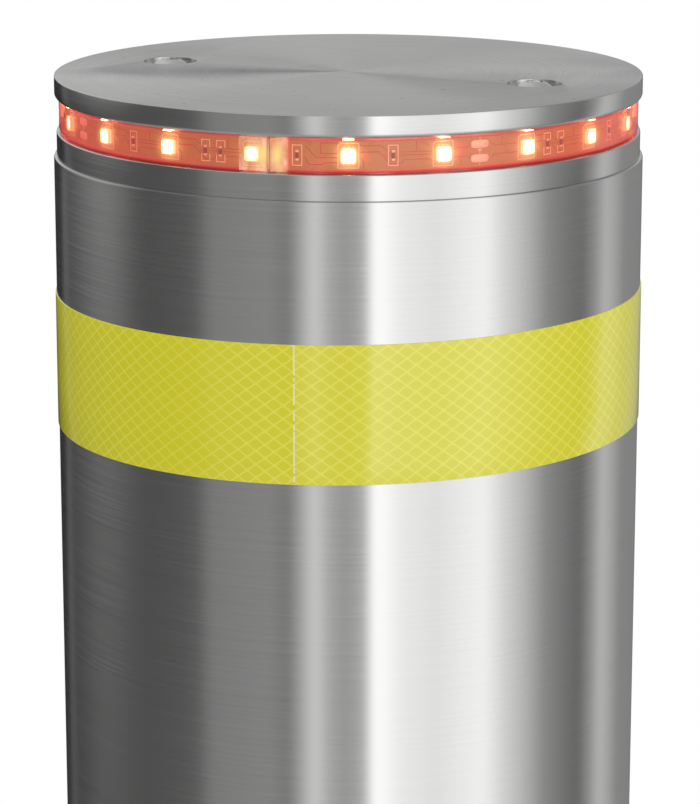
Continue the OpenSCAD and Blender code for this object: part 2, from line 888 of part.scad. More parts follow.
module guide_rails() {
    low = lower_stop_top + touch;
    color("lightslategray") intersection() {
        around(rail_count, rail_ri, rail_angle)
            translate([0, -rail_width / 2, low]) cube([rail_depth + 2, rail_width, rail_top - low]);
        rod(casing_ri - touch, low, rail_top - low);
    }
}

module upper_sensor_hole() {
    rotate([0, 0, rail_angle + sensor_angle]) translate([buffer_circle + 1, 0, 0])
        rod(sensor_r + 0.2, upper_buffer_z - eps, upper_buffer_height + stop_thick + 2 * eps);
}

module upper_stop_ring() {
    color("lightslategray") difference() {
        ring(stop_ri, casing_ri - touch, upper_stop_z, stop_thick);
        upper_sensor_hole();
    }
}

module upper_buffer() {
    color("black") difference() {
        ring(stop_ri + 0.5, casing_ri - 2, upper_buffer_z, upper_buffer_height - touch);
        upper_sensor_hole();
    }
}

module lower_stop_ring() {
    color("lightslategray") difference() {
        ring(lower_stop_ri, casing_ri - touch, lower_stop_top - stop_thick, stop_thick);
        around(rail_count, buffer_circle, rail_angle + buffer_angle)
            rod(4 + touch, lower_stop_top - stop_thick - eps, stop_thick + 2 * eps);
        rotate([0, 0, rail_angle + sensor_angle]) translate([buffer_circle, 0, 0])
            rod(sensor_r + 0.2, lower_stop_top - stop_thick - eps, stop_thick + 2 * eps);
    }
}

module lower_buffers() {
    color("black") around(rail_count, buffer_circle, rail_angle + buffer_angle) {
        rod(buffer_r, lower_stop_top + touch, buffer_height - run - touch);
        rod(4, lower_stop_top - stop_thick, stop_thick + 1);
    }
}

// A cylinder that lies along X at the height z, from the distance low to high on the side of direction
module stub_cylinder(r, z, direction, low, high) {
    translate([direction * low, 0, z]) rotate([0, direction * 90, 0]) cylinder(r = r, h = high - low);
}

module pipe_stub(od, z, direction) {
    difference() {
        union() {
            stub_cylinder(od / 2, z, direction, casing_r + touch, stub_reach);
            stub_cylinder(od / 2 - stub_step, z, direction, casing_ri - stub_inside, casing_r + eps);
        }
        stub_cylinder(od / 2 - stub_wall, z, direction, casing_ri - stub_inside - eps, stub_reach + eps);
    }
}

module drain_stub() {
    color("lightgray") pipe_stub(drain_od, drain_z, 1);
}

module conduit_stub() {
    color("lightgray") pipe_stub(conduit_od, conduit_z, -1);
}

module sensor(tip_z, up) {
    low = up > 0 ? tip_z - sensor_length : tip_z;
    rod(sensor_r, low, sensor_length);
}

module sensor_nut(z) {
    difference() {
        hexagon(sensor_nut_r, z, sensor_nut_thick);
        rod(sensor_r + touch, z - eps, sensor_nut_thick + 2 * eps);
    }
}

module limit_sensors() {
    color("gainsboro") rotate([0, 0, rail_angle + sensor_angle]) {
        translate([buffer_circle, 0, 0]) {
            sensor(flange_low - sensor_gap, 1);
            sensor_nut(lower_stop_top + touch);
            sensor_nut(lower_stop_top - stop_thick - sensor_nut_thick - touch);
        }
        translate([buffer_circle + 1, 0, 0]) {
            sensor(tube_low + flange_thick + sensor_gap, -1);
            sensor_nut(upper_stop_z + stop_thick + touch);
        }
    }
}

module junction_place() {
    rotate([0, 0, junction_angle])
        translate([junction_circle - junction_size.x / 2, -junction_size.y / 2, base_thick + touch])
            children();
}

module junction_box() {
    wall = 3;
    color("lightgray") junction_place() difference() {
        cube(junction_size);
        translate([wall, wall, wall])
            cube([junction_size.x - 2 * wall, junction_size.y - 2 * wall, junction_size.z]);
        for (y = [0.3, 0.7])
            translate([-eps, junction_size.y * y, junction_size.z / 2])
                rotate([0, 90, 0]) cylinder(r = 6.2, h = wall + 2 * eps);
    }
}

module junction_box_lid() {
    color("gainsboro") junction_place() translate([0, 0, junction_size.z + touch])
        cube([junction_size.x, junction_size.y, junction_lid]);
}

module junction_box_glands() {
    color("dimgray") junction_place() for (y = [0.3, 0.7])
        translate([0, junction_size.y * y, junction_size.z / 2]) rotate([0, 90, 0]) difference() {
            union() {
                rod(6, -4, 8);
                hexagon(8.5, -5 - touch, 5);
                translate([0, 0, -11]) cylinder(r1 = 5, r2 = 7, h = 6);
            }
            rod(3, -20, 40);
        }
}

cap_plate();
cap_screws();
cap_o_ring();
light_ring();
head_o_ring();
led_board();
led_packages();
led_sleeve();
sleeve_end_caps();
head_bridge();
led_cable_gland();
bollard_tube();
reflective_band();
lower_flange();
guide_shoes();
guide_shoe_screws();
push_tube();
drive_nut();
nut_screws();
lead_screw();
screw_tip_bush();
bearing_inner_rings();
bearing_balls();
screw_locknut();
coupling_upper_hub();
coupling_spider();
coupling_lower_hub();
gearbox_shaft();
base_plate();
casing_tube();
casing_flange();
flange_gussets();
anchor_bars();
cover_frame();
cover_screws();
wiper_seal();
guide_bush();
guide_housing();
guide_rails();
upper_stop_ring();
upper_buffer();
lower_stop_ring();
lower_buffers();
drain_stub();
conduit_stub();
motor();
gearbox();
gearbox_screws();
drive_plate();
drive_pillars();
pillar_nuts();
bearing_housing();
housing_screws();
bearing_outer_rings();
bearing_cover();
bearing_cover_screws();
limit_sensors();
junction_box();
junction_box_lid();
junction_box_glands();
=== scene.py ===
# %% [markdown]
# # A retractable bollard, built as a lesson in Blender
# The real object is a powered traffic post. A 219 mm stainless tube rises 600 mm out of a
# buried casing. Its lit head is a turned cap and collar with a strip of diodes between them.
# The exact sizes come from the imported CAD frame, so every piece made here is placed by
# measuring a CAD node, and it then rides on that node's body.

# %% Load the frame
import bpy
import json
import math
from math import cos, pi, radians, sin
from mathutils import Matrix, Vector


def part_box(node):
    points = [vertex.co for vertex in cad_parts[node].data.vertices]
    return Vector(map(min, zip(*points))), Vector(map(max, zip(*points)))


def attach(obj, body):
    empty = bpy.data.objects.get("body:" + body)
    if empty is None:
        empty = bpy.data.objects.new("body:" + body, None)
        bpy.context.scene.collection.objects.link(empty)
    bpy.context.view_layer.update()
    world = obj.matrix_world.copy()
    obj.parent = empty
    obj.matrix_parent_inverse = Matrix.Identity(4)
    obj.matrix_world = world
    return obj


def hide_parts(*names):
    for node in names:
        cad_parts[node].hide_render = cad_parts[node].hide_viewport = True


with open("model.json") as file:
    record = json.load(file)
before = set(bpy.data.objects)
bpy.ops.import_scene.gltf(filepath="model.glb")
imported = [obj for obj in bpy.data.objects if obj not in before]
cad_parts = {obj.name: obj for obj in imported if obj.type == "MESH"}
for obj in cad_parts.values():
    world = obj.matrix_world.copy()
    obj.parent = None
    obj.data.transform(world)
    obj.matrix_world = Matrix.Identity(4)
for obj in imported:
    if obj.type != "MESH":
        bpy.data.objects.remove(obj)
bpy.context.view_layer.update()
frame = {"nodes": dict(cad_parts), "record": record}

NODES = frame["nodes"]
MM = 0.001

# %% [markdown]
# ## The camera
# A product picture of a post is taken with a long lens a little above the cap, tilted down
# until the cap's face opens to a thin ellipse. Working from the cap's height keeps the
# camera right if the post ever gets taller.

# %% Camera
cap_low, cap_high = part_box("cap_plate")
CAP_TOP = cap_high.z
LENS = 150.3
SIDE_SHIFT = 0.002
AWAY = 1.240
ABOVE_CAP = 0.173
LOOK_DOWN = 0.2368
camera_data = bpy.data.cameras.new("camera")
camera_data.sensor_width = 36
camera_data.lens = LENS
camera_data.shift_x = SIDE_SHIFT
camera_data.clip_start = 0.05
camera = bpy.data.objects.new("camera", camera_data)
camera.location = (0, -AWAY, CAP_TOP + ABOVE_CAP)
camera.rotation_euler = (pi / 2 - LOOK_DOWN, 0, 0)
bpy.context.scene.collection.objects.link(camera)
bpy.context.scene.camera = camera
bpy.context.scene.view_settings.view_transform = "Standard"
print("camera", tuple(round(v, 3) for v in camera.location))

# %% [markdown]
# ## Small helpers for working in edit mode
# Every operator acts on what is selected, and loading a frame leaves its nodes selected.
# So each step starts by deselecting, and faces or edges are picked by their place or by
# the way they face. A modifier is added, set and applied in one step, because the next
# edit works on the mesh that it leaves.

# %% Selection helpers
def deselect():
    if bpy.context.object and bpy.context.object.mode == "EDIT":
        bpy.ops.object.mode_set(mode="OBJECT")
    for thing in list(bpy.context.selected_objects):
        thing.select_set(False)


def work_on(piece):
    """Make one piece the only thing that the next operator acts on."""
    deselect()
    bpy.context.view_layer.objects.active = piece
    piece.select_set(True)


def edit(piece, mode="VERT"):
    """Go into edit mode on one piece with nothing selected."""
    work_on(piece)
    bpy.ops.object.mode_set(mode="EDIT")
    bpy.ops.mesh.select_mode(type=mode)
    bpy.ops.mesh.select_all(action="DESELECT")


def everything():
    bpy.ops.mesh.select_all(action="SELECT")


def leave():
    bpy.ops.object.mode_set(mode="OBJECT")


def pick(piece, test, kind="vertices"):
    """Select the vertices, edges or faces whose centre passes a test."""
    leave()
    mesh = piece.data
    for item in getattr(mesh, kind):
        if kind == "vertices":
            place = item.co
        elif kind == "edges":
            place = (mesh.vertices[item.vertices[0]].co + mesh.vertices[item.vertices[1]].co) / 2
        else:
            place = item.center
        item.select = bool(test(place, item))
    bpy.ops.object.mode_set(mode="EDIT")


def newest(name):
    """The piece that an operator has just made, now with a name."""
    piece = bpy.context.object
    piece.name = piece.data.name = name
    return piece


def modify(piece, kind, **settings):
    """Put one modifier with these settings on a piece, and apply it."""
    modifier = piece.modifiers.new(kind, kind)
    for setting, value in settings.items():
        setattr(modifier, setting, value)
    work_on(piece)
    bpy.ops.object.modifier_apply(modifier=modifier.name)


def settle(piece, smooth=35):
    """Put the piece's place into its mesh, and shade it smooth up to an angle."""
    work_on(piece)
    bpy.ops.object.transform_apply(location=True, rotation=True, scale=True)
    if smooth:
        bpy.ops.object.shade_smooth_by_angle(angle=radians(smooth))
    return piece


def outward(piece):
    edit(piece)
    everything()
    bpy.ops.mesh.remove_doubles(threshold=0.002 * MM)
    bpy.ops.mesh.normals_make_consistent(inside=False)
    leave()


def two_finishes(piece, first, second, takes_second):
    """The first finish everywhere but on the faces that pass a test."""
    piece.data.materials.append(first)
    piece.data.materials.append(second)
    for face in piece.data.polygons:
        face.material_index = int(takes_second(face))


def stands_for(piece, body, slot, material, *nodes):
    """Give a finished piece its material, body and the CAD nodes it stands for; the slot is not used."""
    if material:
        piece.data.materials.clear()
        piece.data.materials.append(material)
    if nodes:
        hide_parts(*nodes)
    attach(piece, body)
    print(piece.name, "has", len(piece.data.polygons), "faces and rides on", body)
    return piece

# %% [markdown]
# ## Turning
# Round parts come off a lathe. A circle is added at the first station and drawn out ring by
# ring: each step extrudes the last ring along the axis, then resizes it about the axis.
# A hollow part is closed by bridging its last ring to its first, and a solid one by filling.

# %% Turned pieces
ROUND = 256


def turned(name, stations, segments=ROUND, hollow=True):
    deselect()
    radius, height = stations[0]
    bpy.ops.mesh.primitive_circle_add(vertices=segments, radius=radius, location=(0, 0, height))
    piece = settle(newest(name), smooth=0)
    edit(piece)
    everything()
    if not hollow:
        bpy.ops.mesh.edge_face_add()
        leave()
        for face in piece.data.polygons:
            face.select = False
        for edge in piece.data.edges:
            edge.select = True
        for vertex in piece.data.vertices:
            vertex.select = True
        bpy.ops.object.mode_set(mode="EDIT")
        bpy.ops.mesh.select_mode(type="EDGE")
    for (r0, z0), (r1, z1) in zip(stations, stations[1:]):
        bpy.ops.mesh.extrude_edges_move(TRANSFORM_OT_translate={"value": (0, 0, z1 - z0)})
        bpy.ops.transform.resize(value=(r1 / r0, r1 / r0, 1), center_override=(0, 0, z1))
    if hollow:
        bpy.ops.mesh.select_all(action="DESELECT")
        bpy.ops.mesh.select_mode(type="EDGE")
        bpy.ops.mesh.select_non_manifold()
        bpy.ops.mesh.bridge_edge_loops()
    else:
        bpy.ops.mesh.edge_face_add()
    leave()
    outward(piece)
    return piece


def rounded(r0, z0, r1, z1, steps, start, end):
    """Stations along part of a circle of radius r1 centred at (r0, z0), in degrees."""
    return [(r0 + r1 * cos(radians(start + (end - start) * i / steps)),
             z1 + r1 * sin(radians(start + (end - start) * i / steps))) for i in range(steps + 1)]

# %% [markdown]
# ## Materials
# Each finish is a Principled shader fed by noise on Object coordinates, which are metres
# here because every piece sits at the origin. One helper makes the shader and the layers
# that most finishes share: a colour that drifts between two tones, a roughness that
# wanders, and a fine bump. The scale of a layer is given per axis, which is how a brushed
# or a turned surface gets its long thin marks.

# %% Material helpers
def wire(tree, value, socket):
    """Link a socket, or set a number or a colour."""
    if hasattr(value, "is_linked"):
        tree.links.new(value, socket)
    else:
        socket.default_value = value


def put(node, **values):
    """Set a node's inputs by their names, with an underscore for each space."""
    for name, value in values.items():
        node.inputs[name.replace("_", " ")].default_value = value


def maths(tree, operation, first, second=0.0, third=0.0):
    node = tree.nodes.new("ShaderNodeMath")
    node.operation = operation
    for value, socket in zip((first, second, third), node.inputs):
        wire(tree, value, socket)
    return node.outputs[0]


def mix(tree, factor, first, second):
    node = tree.nodes.new("ShaderNodeMix")
    node.data_type = "RGBA"
    for value, name in ((factor, "Factor"), (first, "A"), (second, "B")):
        wire(tree, value, node.inputs[name])
    return node.outputs["Result"]


def grain(tree, vector, scale, detail=3.0, roughness=0.6, spread=(0.3, 0.7)):
    """Noise stretched per axis, as 0 to 1."""
    stretch = tree.nodes.new("ShaderNodeMapping")
    put(stretch, Scale=scale)
    tree.links.new(vector, stretch.inputs["Vector"])
    noise = tree.nodes.new("ShaderNodeTexNoise")
    put(noise, Scale=1, Detail=detail, Roughness=roughness)
    tree.links.new(stretch.outputs[0], noise.inputs["Vector"])
    level = tree.nodes.new("ShaderNodeMapRange")
    put(level, From_Min=spread[0], From_Max=spread[1])
    tree.links.new(noise.outputs["Fac"], level.inputs["Value"])
    return level.outputs[0]


def rising(tree, value, low, high, first=0.0, last=1.0):
    """One value below a level and another above a second, with a soft change between."""
    step = tree.nodes.new("ShaderNodeMapRange")
    step.interpolation_type = "SMOOTHSTEP"
    put(step, From_Min=low, From_Max=high, To_Min=first, To_Max=last)
    tree.links.new(value, step.inputs["Value"])
    return step.outputs[0]


def direction_angle(tree, vector):
    """The compass angle of a vector from the camera's side, 0 to 1 round the circle."""
    split = tree.nodes.new("ShaderNodeSeparateXYZ")
    tree.links.new(vector, split.inputs[0])
    towards = maths(tree, "MULTIPLY", split.outputs["Y"], -1)
    angle = maths(tree, "ARCTAN2", split.outputs["X"], towards)
    return maths(tree, "MULTIPLY_ADD", angle, 0.5 / pi, 0.5), split


def polar(tree, vector):
    """Distance from the axis, angle and height: first all three in one vector, and then each."""
    share, split = direction_angle(tree, vector)
    across = maths(tree, "POWER", split.outputs["X"], 2)
    along = maths(tree, "POWER", split.outputs["Y"], 2)
    away = maths(tree, "SQRT", maths(tree, "ADD", across, along))
    packed = tree.nodes.new("ShaderNodeCombineXYZ")
    for value, socket in zip((away, share, split.outputs["Z"]), packed.inputs):
        tree.links.new(value, socket)
    return packed.outputs[0], away, share, split.outputs["Z"]


def glow(tree, shader, colour, strength):
    wire(tree, colour, shader.inputs["Emission Color"])
    put(shader, Emission_Strength=strength)


def finish(name, base, other, metallic=0.0, roughness=0.5, wander=0.1, scale=(40, 40, 40),
           bump=0.1, bump_scale=None, depth=0.2, coat=0.0, specular=0.5):
    """A material with drifting colour, wandering roughness and a fine bump."""
    material = bpy.data.materials.new(name)
    material.use_nodes = True
    tree = material.node_tree
    shader = tree.nodes["Principled BSDF"]
    put(shader, Metallic=metallic, Specular_IOR_Level=specular, Coat_Weight=coat)
    place = tree.nodes.new("ShaderNodeTexCoord").outputs["Object"]
    drift = grain(tree, place, scale)
    wire(tree, mix(tree, drift, (*base, 1), (*other, 1)), shader.inputs["Base Color"])
    wire(tree, maths(tree, "MULTIPLY_ADD", drift, wander, roughness - wander / 2),
         shader.inputs["Roughness"])
    fine = grain(tree, place, bump_scale or tuple(8 * s for s in scale), 4.0)
    relief = tree.nodes.new("ShaderNodeBump")
    put(relief, Strength=bump, Distance=depth * MM)
    tree.links.new(fine, relief.inputs["Height"])
    tree.links.new(relief.outputs[0], shader.inputs["Normal"])
    return material, tree, shader, place

# %% [markdown]
# ## The studio
# Brushed steel shows its surroundings and little else. A post is lit by tall soft panels
# that stand round it with dark gaps between them, and each panel becomes one upright stripe
# on the metal. The panels are painted on the world by compass direction, counted in degrees
# from the camera's side, so that every view of the model has the same studio round it.
# Above them is a ceiling, and beyond the post a back wall, both lighter on the left than on
# the right. The wall reaches lower just left of the middle, which puts a sheen on the cap.
# Straight to the camera the studio is plain white.

# %% Studio panels
PANELS = [  # direction in degrees, and the studio's brightness there
    (-180, 0.02), (-150, 0.02), (-144, 0.14), (-137, 0.06), (-115, 0.11), (-95, 0.10), (-70, 0.12),
    (-61, 0.15), (-54, 0.31), (-30, 0.36), (-23, 0.26), (-19, 0.53), (-13, 1.06), (-7, 0.62),
    (-1, 0.48), (6, 0.64), (10, 1.90), (20, 1.46), (34, 1.30), (54, 1.58), (62, 1.15), (72, 0.80),
    (82, 0.42), (102, 0.16), (110, 0.42), (117, 0.80), (124, 0.64), (134, 0.36), (160, 0.27),
    (180, 0.04)]
BRIGHTEST = 2
LEFT_WALL = (0.37, 0.37, 0.37, 1)
RIGHT_WALL = (0.22, 0.22, 0.22, 1)

world = bpy.data.worlds.new("studio")
world.use_nodes = True
bpy.context.scene.world = world
tree = world.node_tree
tree.nodes.clear()
looking = tree.nodes.new("ShaderNodeTexCoord")
share, split = direction_angle(tree, looking.outputs["Generated"])
ramp = tree.nodes.new("ShaderNodeValToRGB")
ramp.color_ramp.interpolation = "LINEAR"
points = ramp.color_ramp.elements
while len(points) < len(PANELS):
    points.new(0.5)
for point, (angle, level) in zip(points, PANELS):
    point.position = angle / 360 + 0.5
    point.color = (level / BRIGHTEST, level / BRIGHTEST, level / BRIGHTEST, 1)
tree.links.new(share, ramp.inputs[0])
rightward, beyond, height = (split.outputs[axis] for axis in "XYZ")
ceiling = rising(tree, height, 0.45, 0.85)
reach_down = maths(tree, "MULTIPLY", rising(tree, rightward, -0.20, 0.05, 0.13, 0.0),
                   rising(tree, beyond, 0.93, 0.97))
above_wall_foot = rising(tree, maths(tree, "ADD", height, reach_down), 0.03, 0.14)
back_wall = maths(tree, "MULTIPLY", rising(tree, beyond, -0.1, 0.4), above_wall_foot)
overhead = maths(tree, "MAXIMUM", ceiling, back_wall)
walls = mix(tree, rising(tree, rightward, -0.7, 0.7), LEFT_WALL, RIGHT_WALL)
panels = tree.nodes.new("ShaderNodeBackground")
put(panels, Strength=BRIGHTEST)
wire(tree, mix(tree, overhead, ramp.outputs[0], walls), panels.inputs["Color"])
plain = tree.nodes.new("ShaderNodeBackground")
put(plain, Color=(1, 1, 1, 1))
ray = tree.nodes.new("ShaderNodeLightPath")
choose = tree.nodes.new("ShaderNodeMixShader")
tree.links.new(ray.outputs["Is Camera Ray"], choose.inputs[0])
tree.links.new(panels.outputs[0], choose.inputs[1])
tree.links.new(plain.outputs[0], choose.inputs[2])
sky = tree.nodes.new("ShaderNodeOutputWorld")
tree.links.new(choose.outputs[0], sky.inputs["Surface"])
print("studio with", len(PANELS), "panels")

# %% [markdown]
# ## Brushed stainless steel
# The tube, the collar and the cap's rim were polished with a belt while they turned, so the
# scratches run round the metal. Light spreads across scratches and stays crisp along them:
# that is anisotropy, with the tangent turned upright from the radial direction. Long thin
# noise gives the visible scratches.

# %% Brushed steel
def upright(tree, shader, amount):
    """Spread the gloss up and down, as scratches that run round the axis do."""
    put(shader, Anisotropic=amount, Anisotropic_Rotation=0.25)
    tangent = tree.nodes.new("ShaderNodeTangent")
    tangent.direction_type = "RADIAL"
    tangent.axis = "Z"
    tree.links.new(tangent.outputs[0], shader.inputs["Tangent"])


brushed, tree, shader, place = finish(
    "brushed stainless", (0.575, 0.573, 0.568), (0.61, 0.608, 0.602), metallic=1,
    roughness=0.23, wander=0.05, scale=(14, 14, 1700), bump=0.03,
    bump_scale=(30, 30, 3200), depth=0.02)
upright(tree, shader, 0.97)

turned_face, tree, shader, place = finish(
    "turned stainless face", (0.56, 0.56, 0.555), (0.62, 0.62, 0.612), metallic=1,
    roughness=0.36, wander=0.08, bump=0.0)
rings = polar(tree, place)[0]
marks = grain(tree, rings, (1500, 9, 1), 3.0)
specks = grain(tree, place, (420, 420, 420), 1.0, spread=(0.74, 0.78))
tone = mix(tree, marks, (0.545, 0.545, 0.54, 1), (0.63, 0.63, 0.622, 1))
wire(tree, mix(tree, specks, tone, (0.30, 0.30, 0.30, 1)), shader.inputs["Base Color"])
upright(tree, shader, 0.9)
print("steel finishes ready")

# %% [markdown]
# ## The bollard's tube
# This is a length of standard pipe with a 6 mm wall. Only its ends need work: the top edge
# is chamfered so that it can't cut a hand, and it shows as a thin bright line under the
# collar. It is turned from its own CAD box.

# %% Bollard tube
tube_low, tube_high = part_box("bollard_tube")
TUBE_R = tube_high.x
WALL = 6 * MM
BREAK = 0.8 * MM
tube = turned("bollard_tube_turned", [
    (TUBE_R, tube_low.z), (TUBE_R, tube_high.z - BREAK), (TUBE_R - 0.25 * BREAK, tube_high.z - 0.3 * BREAK),
    (TUBE_R - BREAK, tube_high.z), (TUBE_R - WALL, tube_high.z), (TUBE_R - WALL, tube_low.z)])
settle(tube)
stands_for(tube, "bollard", "satin_stainless", brushed, "bollard_tube")

# %% [markdown]
# ## The light ring
# Under the cap is a turned ring. Its collar stands a millimetre inside the tube's face, and
# the groove above the collar holds the diode strip. The spigot goes down inside the tube.
# It is one piece on the lathe, with its groove and its bore, and two screw holes are cut
# through it with a Boolean.

# %% Light ring
ring_low, ring_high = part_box("light_ring")
sleeve_low, sleeve_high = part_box("led_sleeve")
COLLAR_R = ring_high.x
COLLAR_TOP = sleeve_low.z - 0.3 * MM
COLLAR_LOW = tube_high.z + 0.05 * MM
GROOVE_R = COLLAR_R - 4 * MM
CAP_LOW = cap_low.z + 10 * MM
SPIGOT_R = TUBE_R - WALL - 0.15 * MM
BORE_R = 55 * MM
HUB_R = GROOVE_R - 8.4 * MM
ring = turned("light_ring_turned", [
    (COLLAR_R, COLLAR_LOW), *rounded(COLLAR_R - 0.5 * MM, 0, 0.5 * MM, COLLAR_TOP - 0.5 * MM, 4, 0, 90),
    (GROOVE_R, COLLAR_TOP), (GROOVE_R, ring_high.z), (HUB_R + 0.15 * MM, ring_high.z),
    (HUB_R + 0.15 * MM, cap_low.z - 0.05 * MM), (BORE_R, cap_low.z - 0.05 * MM), (BORE_R, ring_low.z),
    (SPIGOT_R, ring_low.z), (SPIGOT_R, COLLAR_LOW)])
SCREW_RADIUS = 74 * MM
SCREW_ANGLES = (156, 336)
SHANK_HOLE = 5.5 * MM


def screw_places():
    return [(SCREW_RADIUS * cos(radians(a)), SCREW_RADIUS * sin(radians(a))) for a in SCREW_ANGLES]


def cut_holes(piece, radius, low, high, places, sides=64):
    """Cut upright round holes with a Boolean, and throw the cutters away."""
    for x, y in places:
        deselect()
        bpy.ops.mesh.primitive_cylinder_add(vertices=sides, radius=radius, depth=high - low,
                                            location=(x, y, (low + high) / 2))
        cutter = bpy.context.object
        modify(piece, "BOOLEAN", operation="DIFFERENCE", solver="EXACT", object=cutter)
        bpy.data.objects.remove(cutter)


cut_holes(ring, SHANK_HOLE, ring_low.z - MM, ring_high.z, screw_places())
settle(ring)
stands_for(ring, "bollard", "satin_stainless", brushed, "light_ring")

# %% [markdown]
# ## The cap
# The cap is an 8 mm plate with a hub below it. Its top edge is only just broken, and its
# lower edge is rounded over so that it meets the light softly. Both counterbores are cut
# with a Boolean, and their rims are bevelled, because a sharp rim would catch no light.

# %% Cap plate
CAP_R = cap_high.x
LOWER_ROUND = 1.7 * MM
UPPER_BREAK = 0.45 * MM
cap = turned("cap_plate_turned", [
    (HUB_R, cap_low.z), (HUB_R, CAP_LOW),
    *rounded(CAP_R - LOWER_ROUND, 0, LOWER_ROUND, CAP_LOW + LOWER_ROUND, 6, -90, 0),
    *rounded(CAP_R - UPPER_BREAK, 0, UPPER_BREAK, CAP_TOP - UPPER_BREAK, 3, 0, 90)],
    hollow=False)
SEAT_DEEP = 4.3 * MM
SEAT_Z = CAP_TOP - SEAT_DEEP
BORE = 10 * MM
cut_holes(cap, BORE, SEAT_Z, CAP_TOP + 4 * MM, screw_places())
cut_holes(cap, SHANK_HOLE, cap_low.z - MM, SEAT_Z + MM, screw_places())


def on_bore_rim(place, item):
    return abs(place.z - CAP_TOP) < 0.01 * MM and any(
        math.hypot(place.x - x, place.y - y) < BORE + 0.1 * MM for x, y in screw_places())


edit(cap, "EDGE")
pick(cap, on_bore_rim, "edges")
bpy.ops.mesh.bevel(offset=0.35 * MM, segments=2, affect="EDGES")
leave()
settle(cap, 30)
two_finishes(cap, turned_face, brushed,
             lambda face: abs(face.normal.z) <= 0.8 or face.center.z <= CAP_TOP - 0.2 * MM)
stands_for(cap, "bollard", "turned_stainless", None, "cap_plate")

# %% [markdown]
# ## The cap screws
# Two M10 button-head screws hold the head together. A button head is part of a sphere with
# a hexagon socket, and its crown stands just proud of the cap's face. One is turned and
# cut, and its copy has its own mesh.

# %% Cap screws
screw_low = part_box("cap_screws")[0]
HEAD_R = 8.75 * MM
HEAD = 5.5 * MM
SHANK_R = 5 * MM
BALL_R = (HEAD_R ** 2 + HEAD ** 2) / (2 * HEAD)
DOME_RINGS = 13
dome = []
for step in range(DOME_RINGS):
    r = HEAD_R * (1 - step / DOME_RINGS)
    dome.append((r, SEAT_Z + HEAD - BALL_R + math.sqrt(BALL_R ** 2 - r ** 2)))
screw = turned("cap_screw_left", [
    (SHANK_R - MM, screw_low.z), (SHANK_R, screw_low.z + MM), (SHANK_R, SEAT_Z + 0.05 * MM),
    (HEAD_R - 0.2 * MM, SEAT_Z + 0.05 * MM), (HEAD_R, SEAT_Z + 0.3 * MM), (HEAD_R, SEAT_Z + 0.9 * MM)]
    + [(r, z) for r, z in dome if z > SEAT_Z + MM], segments=72, hollow=False)
SOCKET_R = 3.46 * MM
SOCKET_DEEP = 3.9 * MM
cut_holes(screw, SOCKET_R, SEAT_Z + HEAD - SOCKET_DEEP, SEAT_Z + HEAD + 2 * MM, [(0, 0)], sides=6)


def on_socket_rim(place, item):
    return SEAT_Z + HEAD - 1.2 * MM < place.z and math.hypot(place.x, place.y) < 3.6 * MM


edit(screw, "EDGE")
pick(screw, on_socket_rim, "edges")
bpy.ops.mesh.bevel(offset=0.2 * MM, segments=2, affect="EDGES")
leave()
settle(screw, 35)
bright = finish(
    "bright stainless", (0.62, 0.61, 0.60), (0.70, 0.69, 0.68), metallic=1, roughness=0.24,
    wander=0.1, scale=(180, 180, 180), bump=0.08, depth=0.03)[0]


def copy_to(piece, name, x, y, z=0.0, turn=0.0):
    """A copy with its own mesh, moved and turned, with its place in the mesh."""
    twin = piece.copy()
    twin.data = piece.data.copy()
    twin.name = twin.data.name = name
    bpy.context.scene.collection.objects.link(twin)
    twin.location = (x, y, z)
    twin.rotation_euler = (0, 0, turn)
    return settle(twin, smooth=0)


(left_x, left_y), (right_x, right_y) = screw_places()
right_screw = copy_to(screw, "cap_screw_right", right_x, right_y, turn=radians(21))
screw.location = (left_x, left_y, 0)
screw.rotation_euler = (0, 0, radians(8))
settle(screw, smooth=0)
stands_for(screw, "bollard", "bright_stainless", bright, "cap_screws")
stands_for(right_screw, "bollard", "bright_stainless", bright)

# %% [markdown]
# ## Wrapping flat work round the post
# The strip's circuit, its sleeve and the reflective tape are flat goods that someone bent
# round the head. They are modelled the same way: flat, with x along the strip and -y
# outwards, and then a Simple Deform modifier bends them to their radius.

# %% Bending helpers
LED_STEP = radians(18)
LED_COUNT = 20
board_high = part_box("led_board")[1]
BOARD_R = board_high.x
STRIP_MID = (sleeve_low.z + sleeve_high.z) / 2
PITCH = LED_STEP * BOARD_R
SLEEVE_R = sleeve_high.x
JOINT = -LED_STEP + 6.1 * MM / SLEEVE_R
HALF_SPLIT = 0.45 * MM / SLEEVE_R
SLEEVE_START = JOINT + HALF_SPLIT + 5.95 * MM / SLEEVE_R
SLEEVE_END = JOINT - HALF_SPLIT - 10.35 * MM / SLEEVE_R + 2 * pi


def bend_round(piece, radius, rise):
    """Bend a flat piece round the axis, so that its y = 0 plane lands on the radius."""
    along = [vertex.co.x for vertex in piece.data.vertices]
    modify(piece, "SIMPLE_DEFORM", deform_method="BEND", deform_axis="Z",
           angle=(max(along) - min(along)) / radius)
    edit(piece)
    everything()
    bpy.ops.transform.translate(value=(0, -radius, rise))
    leave()
    return piece


def flat_sheet(name, start, end, height, columns, rows):
    """An upright flat grid from one x to another, facing -y."""
    deselect()
    bpy.ops.mesh.primitive_grid_add(x_subdivisions=columns, y_subdivisions=rows, size=1,
                                    location=((start + end) / 2, 0, 0), rotation=(pi / 2, 0, 0))
    piece = newest(name)
    piece.scale = (end - start, height, 1)
    return settle(piece, smooth=0)


def thicken(piece, thickness, offset=1):
    modify(piece, "SOLIDIFY", thickness=thickness, offset=offset)


def join(name, parts):
    deselect()
    for part in parts:
        part.select_set(True)
    bpy.context.view_layer.objects.active = parts[0]
    bpy.ops.object.join()
    parts[0].name = parts[0].data.name = name
    return parts[0]


